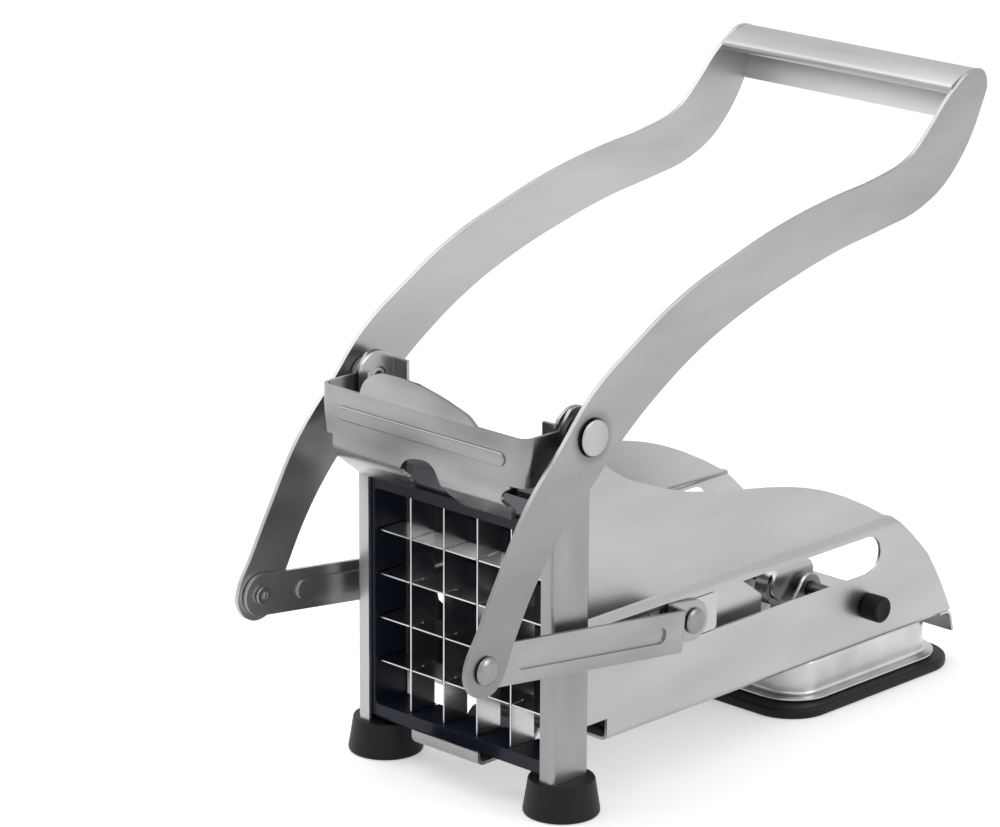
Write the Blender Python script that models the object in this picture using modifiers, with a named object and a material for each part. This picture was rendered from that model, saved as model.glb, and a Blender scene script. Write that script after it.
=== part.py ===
"""French fry cutter: a hinged lever drives a pusher along a sheet trough into a cutting grid.

Metres, +Z up. The grid faces -Y, the handle leans back over +Y, and the machine is symmetric about X = 0.
Pieces are modelled with the arm pivots over Y = 0. At the end one empty moves them all back, so that the
origin lies on the table under the middle of the machine.
"""

import math

import bmesh
import bpy
from mathutils import Matrix, Vector

mm = 0.001

# Fits and cutters
gap = 0.3 * mm              # between pieces that touch
overrun = 3.0 * mm          # how far a cutter passes the face it cuts
weld_distance = 0.001 * mm  # merge distance of meshes and modifiers
lap_relief = 0.05 * mm      # a lapped sheet lies this much inside the sheet it joins

# Linkage: the arms turn on the pivot, the links join the arms' lower ends to the pusher
pivot_rise = 28.4 * mm               # of the pivot over the grid's top
crank_length = 77.1 * mm
crank_lean = math.radians(36.1)      # of the arm's lower end, forward of straight down
rivet_setback = 19.75 * mm           # of the pusher's rivet behind the carriage's front plate
slot_rise = 30.8 * mm                # of the slots' middle over the floor's underside
lever_down = math.radians(15.0)      # from the rest pose to the end of the cut
lever_up = math.radians(63.0)        # from the rest pose to the open pose
pusher_travel_share = 0.909209       # of the crank, that the pusher moves for each radian of the lever

# Sheets
post_sheet = 1.2 * mm
trough_sheet = 1.0 * mm
arm_sheet = 1.5 * mm
link_sheet = 1.4 * mm
clamp_sheet = 1.2 * mm
grip_sheet = 1.2 * mm
carriage_sheet = 1.2 * mm
pan_sheet = 1.0 * mm
rest_sheet = 1.2 * mm
bracket_sheet = 1.2 * mm
cam_sheet = 1.2 * mm

# Cutting grid
grid_cells = 5
grid_opening = 71.8 * mm
grid_rim = 5.0 * mm
grid_depth = 13.5 * mm
grid_front = -7.1 * mm
grid_clearance = 1.2 * mm    # of the grid over the feet
grid_corner = 2.5 * mm
grid_lip = 1.2 * mm          # step of the rim's front edge
blade_sheet = 0.6 * mm
blade_depth = 10.5 * mm
blade_seat = 2.4 * mm        # how far a blade's end goes into the rim
blade_setback = 1.6 * mm     # from the grid's front to the blades' edges

# Posts
post_slack = 0.4 * mm        # between the grid's side and a post
front_flange = 5.2 * mm
rear_flange = 7.0 * mm
post_bend = 1.6 * mm
post_sink = 2.1 * mm         # of a post in its foot
post_ear = 8.5 * mm          # radius of the ear round the pivot
front_flange_drop = 4.4 * mm   # of the front flange's top under the ear's top
rear_flange_drop = 3.6 * mm
foot_tab_width = 11.0 * mm
foot_tab_reach = 8.4 * mm

# Feet
foot_inset = 4.0 * mm        # of a foot's middle, from the post's outer face
foot_base = 12.1 * mm
foot_top = 10.5 * mm
foot_height = 11.6 * mm
foot_round = 0.9 * mm
foot_bore = 2.2 * mm
foot_counterbore = 4.4 * mm
counterbore_depth = 4.2 * mm
pocket_slack = 1.2 * mm      # round the post's lower end in the foot
screw_head = 3.6 * mm
screw_head_height = 2.2 * mm
screw_shank = 1.7 * mm

# Trough
wall_inset = 2.5 * mm        # of the lower walls, from the grid's sides
floor_rise = 4.4 * mm        # of the floor's underside over the grid's bottom
trough_bend = 2.4 * mm
joggle_offset = 8.0 * mm     # of the joggle over the slots' middle
joggle_rise = 2.4 * mm
joggle_depth = 2.2 * mm      # between the lower and the upper walls
trough_length = 182.3 * mm
wall_drop = 5.5 * mm         # of the walls' front top under the pivot
notch_depth = 12.3 * mm      # cut back of the lower front corner
notch_height = 7.6 * mm
lip_drop = 6.9 * mm
lip_inset = 0.4 * mm         # of the lip's ends, from the walls
lip_slant = 1.6 * mm         # of the lip's lower edge, to the rear
crest_shares = [
    (0.0, 1.0), (0.066, 0.893), (0.114, 0.833), (0.154, 0.801), (0.240, 0.739), (0.313, 0.701),
    (0.391, 0.676), (0.489, 0.645), (0.562, 0.618), (0.639, 0.576), (0.704, 0.525), (0.770, 0.464),
    (0.812, 0.419), (0.831, 0.408), (0.882, 0.328), (0.928, 0.242), (0.967, 0.133), (0.999, 0.017),
]
slot_width = 13.0 * mm
slot_front_slack = 4.75 * mm # ahead of the shoe at the end of the cut
slot_rear_slack = 4.4 * mm   # behind the shoe in the open pose

# Strip under the grid
rest_half_width = 14.5 * mm
rest_tail = 45.0 * mm
rest_step = 15.0 * mm        # where the strip drops from the trough to the grid
rest_run = 5.0 * mm
rest_curl = 1.6 * mm
rest_curl_height = 3.2 * mm
rest_front_gap = 1.4 * mm

# Arms
arm_stand_off = 6.0 * mm     # between a post and an arm
arm_width = 19.3 * mm
arm_end = 8.6 * mm           # radius of the lower end
handle_reach = 177.0 * mm    # pivot to grip, back
handle_rise = 75.0 * mm      # pivot to grip, up
lower_arm_shares = [(0.868, 0.019), (0.631, 0.045), (0.380, 0.049), (0.110, 0.003)]
lower_width_shares = [0.84, 0.845, 0.966, 1.037]
upper_arm_shares = [
    (0.040, 0.067), (0.137, 0.218), (0.248, 0.357), (0.369, 0.460), (0.492, 0.541),
    (0.637, 0.608), (0.748, 0.641), (0.848, 0.693), (0.917, 0.798),
]
upper_width_shares = [1.118, 1.061, 1.033, 0.978, 0.970, 0.915, 0.898, 0.967, 1.058]

# Grip, whose section also ends the arms
grip_size = 18.0 * mm
head_shares = [(-0.467, 0.25), (0.25, 0.522), (0.461, 0.267), (0.367, -0.083)]
grip_hem_share = (-0.36, 0.085)
grip_heel_share = (0.278, -0.49)
grip_top_round = 3.6 * mm
grip_hem_round = 1.2 * mm
grip_end_gap = 0.3 * mm

# Rivets
pivot_shank = 3.1 * mm
pivot_head = 5.7 * mm
pivot_head_height = 1.2 * mm
pivot_bore = 1.7 * mm        # of the hollow inner end
spacer_radius = 5.4 * mm
joint_shank = 2.2 * mm
joint_head = 4.5 * mm
joint_head_height = 2.0 * mm
eyelet_radius = 2.9 * mm     # of the joint rivets' rolled tails
eyelet_height = 0.9 * mm
eyelet_bore = 1.3 * mm
pusher_tail_height = 1.0 * mm
pusher_head = 4.2 * mm
pusher_head_height = 1.5 * mm

# Links
link_width = 13.4 * mm
link_shoulder = 13.2 * mm    # from the pusher's rivet to the step
link_bend = 1.7 * mm
rib_length = 62.0 * mm
rib_width = 6.6 * mm
rib_start = 18.0 * mm        # from the arm's rivet
rib_height = 0.8 * mm

# Clamp
clamp_stand = 16.0 * mm      # of the clamp's front face, ahead of the grid
clamp_side_gap = 0.4 * mm    # between a post and the clamp's ear
clamp_bend = 4.0 * mm
clamp_crown = 2.4 * mm       # of the front plate's top over the pivot
clamp_drop = 12.8 * mm       # of the sides' bottom under the pivot
clamp_ear = 8.4 * mm
apron_inset = 6.1 * mm       # of the apron's ends, from the clamp's sides
apron_fold = 9.4 * mm        # of the fold over the grid's top
apron_bend = 6.0 * mm
hook_overlap = 0.7 * mm      # of the apron's edge under the grid's top
hook_tips = (-16.0 * mm, 26.5 * mm)
hook_width = 24.0 * mm
hook_height = 16.2 * mm
hook_shares = [
    (-0.10, -0.20), (0.0, 0.0), (0.19, 0.25), (0.37, 0.53), (0.31, 0.67), (0.34, 0.80), (0.45, 0.93),
    (0.61, 0.99), (0.78, 1.0), (0.91, 0.91), (0.98, 0.74), (0.99, 0.54), (0.92, 0.26), (0.93, 0.03), (0.98, -0.20),
]
clamp_rib_inset = 2.0 * mm   # of the rib's ends, from the apron's
clamp_rib_height = 4.6 * mm
clamp_rib_drop = 5.3 * mm    # of the rib under the pivot
clamp_rib_depth = 0.8 * mm
tab_left = -24.5 * mm
tab_right = 25.0 * mm
tab_reach = 5.2 * mm
tab_rise = 6.8 * mm
tab_bulge = 2.4 * mm         # of the tab's round end, past its root
tab_shares = [
    (0.0, -0.3), (-0.03, 0.0), (-0.045, 0.3), (-0.035, 0.6), (0.02, 0.86), (0.157, 0.98), (0.30, 0.95),
    (0.46, 0.82), (0.757, 0.46), (0.93, 0.12), (1.0, -0.3),
]

# Pusher
block_slack = 1.0 * mm       # between the block and a wall
block_thickness = 7.0 * mm
stud_height = 6.0 * mm
stud_gap = 1.1 * mm          # round a stud that enters a cell
stud_draft_share = 0.94
grid_stop_gap = 0.6 * mm     # between the studs and the grid at the end of the stroke
block_recess = 1.6 * mm
shoe_depth = 5.1 * mm        # of a shoe, from the carriage's side to the wall's outer face
carriage_length = 60.35 * mm
carriage_side_drop = 11.8 * mm       # of the sides' bottom under the slots' middle
carriage_rear_drop = 3.0 * mm        # of the sides' rear top under it
carriage_side_rise = 8.0 * mm        # of the sides' top over it
carriage_slope = 15.0 * mm   # run of the sides' cut rear corners
carriage_front_margin = 4.0 * mm
carriage_bend = 2.0 * mm
carriage_neck = 8.0 * mm
shoe_front = 13.3 * mm       # ahead of the pusher's rivet
shoe_rear = 12.7 * mm
shoe_corner = 1.6 * mm
shoe_flange = 1.2 * mm       # of the shoe, past the slot's edge inside
block_screw_spread = 17.0 * mm
block_screw_head = 3.4 * mm
block_screw_head_height = 1.8 * mm
block_screw_shank = 1.4 * mm
block_screw_length = 5.6 * mm

# Suction foot
pan_side_inset = 3.9 * mm    # of the pan's sides, from the trough's walls
pan_rear_inset = 2.5 * mm    # of the pan's rear, from the trough's
pan_length = 72.5 * mm
pan_corner = 11.0 * mm
pan_top_round = 2.2 * mm
pan_flange = 3.8 * mm
pad_margin = 4.0 * mm        # of the pad, past the pan's flange
pad_rear_margin = 5.6 * mm   # of the pad, past the pan's rear
pad_front_margin = 9.5 * mm  # of the pad, past the pan's front
pad_corner = 15.0 * mm
pad_height = 3.5 * mm
pad_round = 1.2 * mm
pad_relief = 0.8 * mm        # hollow of the pad's underside
pad_band = 7.0 * mm          # of the pad, that rests on the table
membrane_radius = 13.0 * mm
membrane_height = 1.8 * mm
pan_rivet_inset = 10.5 * mm  # of the rivets, from the pan's sides
pan_rivet_front_inset = 7.5 * mm
pan_rivet_rear_inset = 8.0 * mm
pan_rivet_head = 3.0 * mm
pan_rivet_head_height = 1.1 * mm
pan_rivet_shank = 1.6 * mm

# Suction lever
axle_inset = 44.5 * mm       # of the axle, from the trough's rear
axle_rise = 12.6 * mm        # of the axle over the floor
axle_radius = 2.5 * mm
knob_radius = 4.4 * mm
knob_length = 6.4 * mm
knob_round = 0.8 * mm
bracket_half_width = 14.2 * mm
bracket_reach = 14.0 * mm    # of the bracket, each way from the axle
bracket_ear = 5.4 * mm
cam_half_width = 10.8 * mm
cam_length = 15.4 * mm
cam_nose = 5.2 * mm
cam_heel = 5.2 * mm
cam_top_gap = 2.8 * mm
eccentric_radius = 4.9 * mm
eccentric_half_width = 3.0 * mm
suction_stroke = 3.0 * mm
suction_turn = math.radians(90.0)
stem_radius = 2.4 * mm
yoke_wall = 1.6 * mm
yoke_slack = 0.7 * mm        # sideways, for the eccentric's swing
yoke_half_width = 2.6 * mm

# Facets
arc_steps = 4
turned_steps = 20
small_steps = 12

# Places worked out from the sizes above
grid_outer = grid_opening / 2 + grid_rim
grid_bottom = foot_height + grid_clearance
grid_rear = grid_front + grid_depth
grid_top = grid_bottom + 2 * grid_outer
grid_middle = grid_bottom + grid_outer
grid_pitch = (grid_opening + blade_sheet) / grid_cells
post_outer = grid_outer + post_slack + post_sheet
post_bottom = foot_height - post_sink
pivot_height = grid_top + pivot_rise
post_front = grid_front - gap - post_sheet
post_rear = grid_rear + gap + post_sheet
trough_front = post_rear + gap
trough_rear = trough_front + trough_length
trough_floor = grid_bottom + floor_rise
floor_top = trough_floor + trough_sheet
lower_half_width = grid_outer - wall_inset
upper_half_width = lower_half_width - joggle_depth
lip_half_width = lower_half_width - lip_inset
slot_height = trough_floor + slot_rise
joggle_height = slot_height + joggle_offset
wall_front_top = pivot_height - wall_drop
foot_side = post_outer - foot_inset
arm_inner = post_outer + arm_stand_off
arm_half_span = arm_inner + arm_sheet
pivot = Vector((0.0, pivot_height))
arm_rivet = pivot + crank_length * Vector((-math.sin(crank_lean), -math.cos(crank_lean)))
grip_middle = pivot + Vector((handle_reach, handle_rise))
tongue_inner = lower_half_width + gap
link_outer = arm_inner - gap
link_inner = link_outer - link_sheet
clamp_half_width = post_outer + clamp_side_gap + clamp_sheet
clamp_front = grid_front - clamp_stand
apron_half_width = clamp_half_width - apron_inset
clamp_rib_half = apron_half_width - clamp_rib_inset
clamp_top = pivot_height + clamp_crown
clamp_bottom = pivot_height - clamp_drop
clamp_rib_level = pivot_height - clamp_rib_drop
fold_level = grid_top + apron_fold
hook_level = grid_top - hook_overlap
apron_rear = post_front - gap
pusher_per_radian = crank_length * pusher_travel_share
pusher_advance = pusher_per_radian * lever_down
stud_face = grid_rear + grid_stop_gap + pusher_advance
block_face = stud_face + stud_height
block_rear = block_face + block_thickness
block_half_width = upper_half_width - trough_sheet - block_slack
carriage_half_width = lower_half_width - gap - shoe_depth
carriage_side_bottom = slot_height - carriage_side_drop
carriage_rear_top = slot_height - carriage_rear_drop
carriage_side_top = slot_height + carriage_side_rise
carriage_front = block_rear + gap
carriage_rear = carriage_front + carriage_length
pusher_rivet = Vector((carriage_front + rivet_setback, slot_height))
link_length = (arm_rivet - pusher_rivet).length
slot_front = pusher_rivet.x - pusher_advance - shoe_front - slot_front_slack
slot_rear = pusher_rivet.x + pusher_per_radian * lever_up + shoe_rear + slot_rear_slack
pan_half_width = lower_half_width - pan_side_inset
pan_rear = trough_rear - pan_rear_inset
pan_front = pan_rear - pan_length
pad_rear = pan_rear + pad_rear_margin
pad_front = pan_front - pad_front_margin
pan_rivet_side = pan_half_width - pan_rivet_inset
pan_rivet_front = pan_front + pan_rivet_front_inset
pan_rivet_rear = pan_rear - pan_rivet_rear_inset
axle_place = trough_rear - axle_inset
axle_height = floor_top + axle_rise
bracket_front = axle_place - bracket_reach
bracket_rear = axle_place + bracket_reach
axle = Vector((axle_place, axle_height))
eccentric_offset = suction_stroke / (2 * math.sin(suction_turn / 2))
machine_front = arm_rivet.x - arm_end
machine_middle = (machine_front + pad_rear) / 2

finishes = {
    "steel": ((0.62, 0.62, 0.61, 1.0), 0.32, 1.0),
    "bright_steel": ((0.72, 0.72, 0.71, 1.0), 0.2, 1.0),
    "rubber": ((0.012, 0.012, 0.013, 1.0), 0.7, 0.0),
    "dark_plastic": ((0.014, 0.016, 0.024, 1.0), 0.38, 0.0),
}

# Each plane turns outline coordinates into the machine's: side is (y, z), front is (x, z), top is (x, y)
planes = {
    "side": Matrix(((0, 0, 1), (1, 0, 0), (0, 1, 0))),
    "front": Matrix(((1, 0, 0), (0, 0, -1), (0, 1, 0))),
    "top": Matrix.Identity(3),
}
depth_axes = {"side": Vector((1, 0, 0)), "front": Vector((0, 1, 0)), "top": Vector((0, 0, 1))}


def clear_scene():
    for old in list(bpy.data.objects):
        bpy.data.objects.remove(old, do_unlink=True)


def new_collection(name):
    collection = bpy.data.collections.new(name)
    bpy.context.scene.collection.children.link(collection)
    return collection


clear_scene()
parts = new_collection("french_fry_cutter")
guides = new_collection("cutters")


def link_object(name, data, role):
    """An object of the data, in the parts' collection, or in the cutters' as a wire that isn't rendered."""
    made = bpy.data.objects.new(name, data)
    role.objects.link(made)
    if role is guides:
        made.hide_render = True
        made.display_type = "WIRE"
    return made


def finish(piece, kind):
    """Gives the piece its own material."""
    colour, roughness, metallic = finishes[kind]
    material = bpy.data.materials.new(piece.name)
    material.use_nodes = True
    shader = material.node_tree.nodes["Principled BSDF"]
    shader.inputs["Base Color"].default_value = colour
    shader.inputs["Roughness"].default_value = roughness
    shader.inputs["Metallic"].default_value = metallic
    piece.data.materials.append(material)
    return piece


def corner_arc(before, corner, after, radius):
    """Points of the arc that rounds a corner."""
    back = (before - corner).normalized()
    ahead = (after - corner).normalized()
    half = back.angle(ahead) / 2
    reach = radius / math.tan(half)
    centre = corner + (back + ahead).normalized() * (radius / math.sin(half))
    turn = math.copysign(math.pi - 2 * half, back.y * ahead.x - back.x * ahead.y)
    arm = corner + back * reach - centre
    return [centre + Matrix.Rotation(turn * step / arc_steps, 2) @ arm for step in range(arc_steps + 1)]


def rounded(points, radii, closed=False):
    """The points with their corners rounded. One radius serves all corners, or each has its own."""
    points = [Vector(point) for point in points]
    last = len(points) - 1
    if not isinstance(radii, (list, tuple)):
        radii = [radii] * len(points)
    path = []
    for index, point in enumerate(points):
        at_end = not closed and index in (0, last)
        if at_end or not radii[index]:
            path.append(point)
            continue
        path += corner_arc(points[index - 1], point, points[(index + 1) % len(points)], radii[index])
    return path


def box_outline(x_range, y_range, radius=0.0):
    (left, right), (low, high) = x_range, y_range
    return rounded([(left, low), (right, low), (right, high), (left, high)], radius, closed=True)


def circle(centre, radius, steps=small_steps):
    """Points of a circle about a centre."""
    turns = [2 * math.pi * step / steps for step in range(steps)]
    return [Vector(centre) + radius * Vector((math.cos(turn), math.sin(turn))) for turn in turns]


def stadium(start, end, radius, steps=small_steps):
    """Points of a slot outline between two centres."""
    along = Vector(end) - Vector(start)
    heading = math.atan2(along.y, along.x)
    points = []
    for centre, first in ((Vector(end), heading - math.pi / 2), (Vector(start), heading + math.pi / 2)):
        for step in range(steps // 2 + 1):
            turn = first + 2 * math.pi * step / steps
            points.append(centre + radius * Vector((math.cos(turn), math.sin(turn))))
    return points


def plate(name, outlines, plane, start, end, role=parts, smooth=0):
    """A flat plate between two depths. The first outline is its edge and the rest are holes.

    With smooth, the outlines are Bezier curves through the points, with that many facets a point.
    """
    curve = bpy.data.curves.new(name, "CURVE")
    curve.dimensions = "2D"
    curve.fill_mode = "BOTH"
    curve.extrude = (end - start) / 2
    curve.resolution_u = max(smooth, 1)
    for outline in outlines:
        spline = curve.splines.new("BEZIER" if smooth else "POLY")
        if smooth:
            spline.bezier_points.add(len(outline) - 1)
            for knot, point in zip(spline.bezier_points, outline):
                knot.co = Vector(point).to_3d()
                knot.handle_left_type = "AUTO"
                knot.handle_right_type = "AUTO"
        else:
            spline.points.add(len(outline) - 1)
            for knot, point in zip(spline.points, outline):
                knot.co = Vector(point).to_4d()
        spline.use_cyclic_u = True
    drawn = link_object(name, curve, guides)
    middle = depth_axes[plane] * (start + end) / 2
    drawn.matrix_world = Matrix.Translation(middle) @ planes[plane].to_4x4()
    return to_mesh(drawn, name, role)


def to_mesh(source, name, role=parts, mirror=False):
    """A mesh object of what the source looks like, modifiers and place included. The source is removed."""
    bpy.context.view_layer.update()
    evaluated = source.evaluated_get(bpy.context.evaluated_depsgraph_get())
    mesh = bpy.data.meshes.new_from_object(evaluated)
    place = source.matrix_world.copy()
    bm = bmesh.new()
    bm.from_mesh(mesh)
    bmesh.ops.transform(bm, matrix=place, verts=bm.verts)
    bmesh.ops.remove_doubles(bm, verts=bm.verts, dist=weld_distance)
    if mirror:
        bmesh.ops.scale(bm, vec=(-1, 1, 1), verts=bm.verts)
        bmesh.ops.reverse_faces(bm, faces=bm.faces)
    bm.to_mesh(mesh)
    bm.free()
    mesh.materials.clear()
    if not mirror:
        bpy.data.objects.remove(source, do_unlink=True)
    made = link_object(name, mesh, role)
    return made


def mirrored(piece, name, role=parts):
    """The left-hand twin of a right-hand piece."""
    return to_mesh(piece, name, role, mirror=True)


def sheet(name, path, plane, start, end, thickness, inside="left", role=parts):
    """A bent sheet: an open path drawn out between two depths, thickened to one side of its direction."""
    bm = bmesh.new()
    turn = planes[plane].to_4x4()
    corners = [bm.verts.new(turn @ Vector(point).to_3d()) for point in path]
    edges = [bm.edges.new(pair) for pair in zip(corners, corners[1:])]
    for corner in corners:
        corner.co += depth_axes[plane] * start
    drawn = bmesh.ops.extrude_edge_only(bm, edges=edges)
    moved = [item for item in drawn["geom"] if isinstance(item, bmesh.types.BMVert)]
    bmesh.ops.translate(bm, vec=depth_axes[plane] * (end - start), verts=moved)
    bm.normal_update()
    heading = (turn @ (Vector(path[1]) - Vector(path[0])).to_3d()).normalized()
    right_hand = heading.cross(turn.to_3x3() @ Vector((0, 0, 1)))
    if edges[0].link_faces[0].normal.dot(right_hand) < 0:
        bmesh.ops.reverse_faces(bm, faces=bm.faces)
    return thicken(link_mesh(name, bm, role), thickness, -1 if inside == "left" else 1)


def link_mesh(name, bm, role=parts):
    mesh = bpy.data.meshes.new(name)
    bm.to_mesh(mesh)
    bm.free()
    return link_object(name, mesh, role)


def thicken(piece, thickness, offset):
    solid = piece.modifiers.new("thickness", "SOLIDIFY")
    solid.thickness = thickness
    solid.offset = offset
    solid.use_even_offset = True
    return piece


def turned(name, profile, place, axis="x", steps=turned_steps, closed=False, role=parts):
    """A turned piece. The profile's (radius, height) pairs run down its outer side, top to bottom."""
    bm = bmesh.new()
    corners = [bm.verts.new((radius, 0, height)) for radius, height in profile]
    for pair in zip(corners, corners[1:]):
        bm.edges.new(pair)
    if closed:
        bm.edges.new((corners[-1], corners[0]))
    made = link_mesh(name, bm, role)
    screw = made.modifiers.new("turning", "SCREW")
    screw.steps = steps
    screw.render_steps = steps
    screw.use_merge_vertices = True
    screw.merge_threshold = weld_distance
    turn = Matrix.Rotation(math.pi / 2, 4, "Y") if axis == "x" else Matrix.Identity(4)
    if axis == "y":
        turn = Matrix.Rotation(-math.pi / 2, 4, "X")
    made.matrix_world = Matrix.Translation(place) @ turn
    return made


def boolean(piece, tool, operation):
    step = piece.modifiers.new(tool.name, "BOOLEAN")
    step.operation = operation
    step.object = tool
    step.solver = "EXACT"


def cut(piece, *cutters):
    for cutter in cutters:
        boolean(piece, cutter, "DIFFERENCE")
    return piece


def join(piece, *additions):
    for addition in additions:
        boolean(piece, addition, "UNION")
    return piece


def drill(name, centre, radius, plane, start, end):
    """A round cutter."""
    return plate(name, [circle(centre, radius)], plane, start - overrun, end + overrun, guides)


def side_point(place, x):
    """A point of the side view, at a distance across the machine."""
    return Vector((x, place[0], place[1]))


def domed_head(radius, height, base, foot_radius):
    """The profile of a domed rivet head, from its top on the axis down to the shank."""
    lift = base + height
    edge_share = 0.3
    crown_shares = ((0.45, 0.93), (0.8, 0.7))
    profile = [(0, lift)]
    profile += [(radius * across, base + height * up) for across, up in crown_shares]
    profile += [(radius, base + height * edge_share), (radius, base), (foot_radius, base)]
    return profile


# Cutting grid

def grid_lines():
    """The places of the blades across the opening, from its middle."""
    return [(line - grid_cells / 2) * grid_pitch for line in range(1, grid_cells)]


def blade_boxes(name, across, upright, margin, half_length, role):
    """Blade-shaped plates at the grid lines, for the blades and for their seats in the rim."""
    first = grid_front + blade_setback
    made = []
    for number, line in enumerate(across, start=1):
        thick = (line - blade_sheet / 2 - margin, line + blade_sheet / 2 + margin)
        reach = (-half_length, half_length)
        x_range, z_range = (thick, reach) if upright else (reach, thick)
        z_range = (z_range[0] + grid_middle, z_range[1] + grid_middle)
        outline = box_outline(x_range, z_range)
        made.append(plate(f"{name}_{number}", [outline], "front", first - margin, first + blade_depth + margin, role))
    return made


def make_grid():
    """The plastic frame and the half-lapped blades that sit in its grooves."""
    span = (grid_middle - grid_outer, grid_middle + grid_outer)
    hole = grid_opening / 2
    outer = box_outline((-grid_outer, grid_outer), span, grid_corner)
    inner = box_outline((-hole, hole), (grid_middle - hole, grid_middle + hole), grid_corner / 2)
    frame = plate("grid_frame", [outer, inner], "front", grid_front + grid_lip, grid_rear)
    slim = grid_outer - grid_lip
    step_outer = box_outline((-slim, slim), (grid_middle - slim, grid_middle + slim), grid_corner)
    step_inner = box_outline((-hole, hole), (grid_middle - hole, grid_middle + hole), grid_corner / 2)
    step = plate("grid_frame_step", [step_outer, step_inner], "front", grid_front, grid_front + 2 * grid_lip, guides)
    join(frame, step)
    groove = hole + blade_seat + gap
    for upright in (True, False):
        for cutter in blade_boxes(f"groove_{upright}", grid_lines(), upright, gap, groove, guides):
            opened = plate_to_rear(cutter)
            cut(frame, opened)
    finish(frame, "dark_plastic")
    pieces = [frame]
    lap_middle = grid_front + blade_setback + blade_depth / 2
    for upright, name in ((True, "vertical_blade"), (False, "horizontal_blade")):
        laps = []
        for line in grid_lines():
            thick = (line - blade_sheet / 2 - gap, line + blade_sheet / 2 + gap)
            rows = (grid_middle - hole, grid_middle + hole)
            if upright:
                outline = box_outline((-hole, hole), (thick[0] + grid_middle, thick[1] + grid_middle))
                depths = (lap_middle - gap / 2, grid_rear)
            else:
                outline = box_outline(thick, rows)
                depths = (grid_front, lap_middle + gap / 2)
            laps.append(plate(f"{name}_lap", [outline], "front", *depths, role=guides))
        for blade in blade_boxes(name, grid_lines(), upright, 0.0, hole + blade_seat, parts):
            cut(blade, *laps)
            pieces.append(finish(blade, "bright_steel"))
    return pieces


def plate_to_rear(cutter):
    """Lengthens a groove cutter to past the grid's rear, where the blades are put in."""
    middle = grid_front + blade_setback + blade_depth / 2
    for corner in cutter.data.vertices:
        if corner.co.y > middle:
            corner.co.y = grid_rear + overrun
    return cutter


# Base

def post_top():
    """The outline of what is cut off above a post, in the side view."""
    crown = pivot_height + post_ear
    front_top = crown - front_flange_drop
    rear_top = crown - rear_flange_drop
    turns = [math.radians(degrees) for degrees in (140, 115, 90, 65, 47)]
    ear = [pivot + post_ear * Vector((math.cos(turn), math.sin(turn))) for turn in turns]
    front_inner = post_front + post_sheet + gap
    edge = [(post_front - overrun, front_top), (front_inner, front_top)] + ear
    edge += [(post_rear - post_sheet, rear_top), (post_rear + overrun, rear_top)]
    high = crown + overrun
    return edge + [(post_rear + overrun, high), (post_front - overrun, high)]


def make_posts():
    """Upright channels that hold the grid's sides, with a tab for the foot's screw."""
    plan = [
        (post_outer - front_flange, post_front), (post_outer, post_front), (post_outer, post_rear),
        (post_outer - rear_flange, post_rear),
    ]
    crown = pivot_height + post_ear
    path = rounded(plan, post_bend)
    post = sheet("right_post", path, "top", post_bottom, crown + overrun / 2, post_sheet)
    tab_outline = box_outline((foot_side - foot_tab_reach / 2, post_outer - post_sheet / 2),
                              (-foot_tab_width / 2, foot_tab_width / 2))
    tab_level = post_bottom + lap_relief
    tab = plate("foot_tab", [tab_outline], "top", tab_level, tab_level + post_sheet, guides)
    join(post, tab)
    inner, outer = post_outer - rear_flange, post_outer
    crest = plate("post_crest", [post_top()], "side", inner - overrun, outer + overrun, guides)
    bore = drill("post_pivot_hole", pivot, pivot_shank + gap, "side", inner, outer)
    screw_hole = drill("post_screw_hole", (foot_side, 0), screw_shank + gap, "top", post_bottom, post_bottom)
    cut(post, crest, bore, screw_hole)
    right = finish(to_mesh(post, "right_post"), "steel")
    return [right, finish(mirrored(right, "left_post"), "steel")]


def make_feet():
    """Rubber cones with a pocket for the post's lower end, and the screws that hold them."""
    base_round = foot_round / 2
    profile = [
        (0, foot_height), (foot_top - foot_round, foot_height), (foot_top, foot_height - foot_round),
        (foot_base, base_round), (foot_base - base_round, 0), (0, 0),
    ]
    foot = turned("right_foot", profile, (foot_side, 0, 0), "z")
    pocket_outline = box_outline((post_outer - rear_flange - pocket_slack, post_outer + pocket_slack),
                                 (post_front - pocket_slack, post_rear + pocket_slack))
    pocket = plate("foot_pocket", [pocket_outline], "top", post_bottom - gap, foot_height + overrun, guides)
    bore = drill("foot_bore", (foot_side, 0), foot_bore, "top", 0, foot_height)
    counterbore = drill("foot_counterbore", (foot_side, 0), foot_counterbore, "top",
                        -overrun, counterbore_depth - overrun)
    cut(foot, pocket, bore, counterbore)
    right = finish(to_mesh(foot, "right_foot"), "rubber")
    head_top = counterbore_depth - gap
    head_bottom = head_top - screw_head_height
    tip = grid_bottom - 2 * gap
    screw_profile = [
        (0, tip), (screw_shank, tip), (screw_shank, head_top), (screw_head, head_top),
        (screw_head, head_bottom + screw_head_height / 3), (screw_head - screw_head_height / 3, head_bottom),
        (0, head_bottom),
    ]
    screw = turned("right_foot_screw", screw_profile, (foot_side, 0, 0), "z", small_steps)
    screw = finish(to_mesh(screw, "right_foot_screw"), "bright_steel")
    left = finish(mirrored(right, "left_foot"), "rubber")
    left_screw = finish(mirrored(screw, "left_foot_screw"), "bright_steel")
    return [right, left, screw, left_screw]


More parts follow.
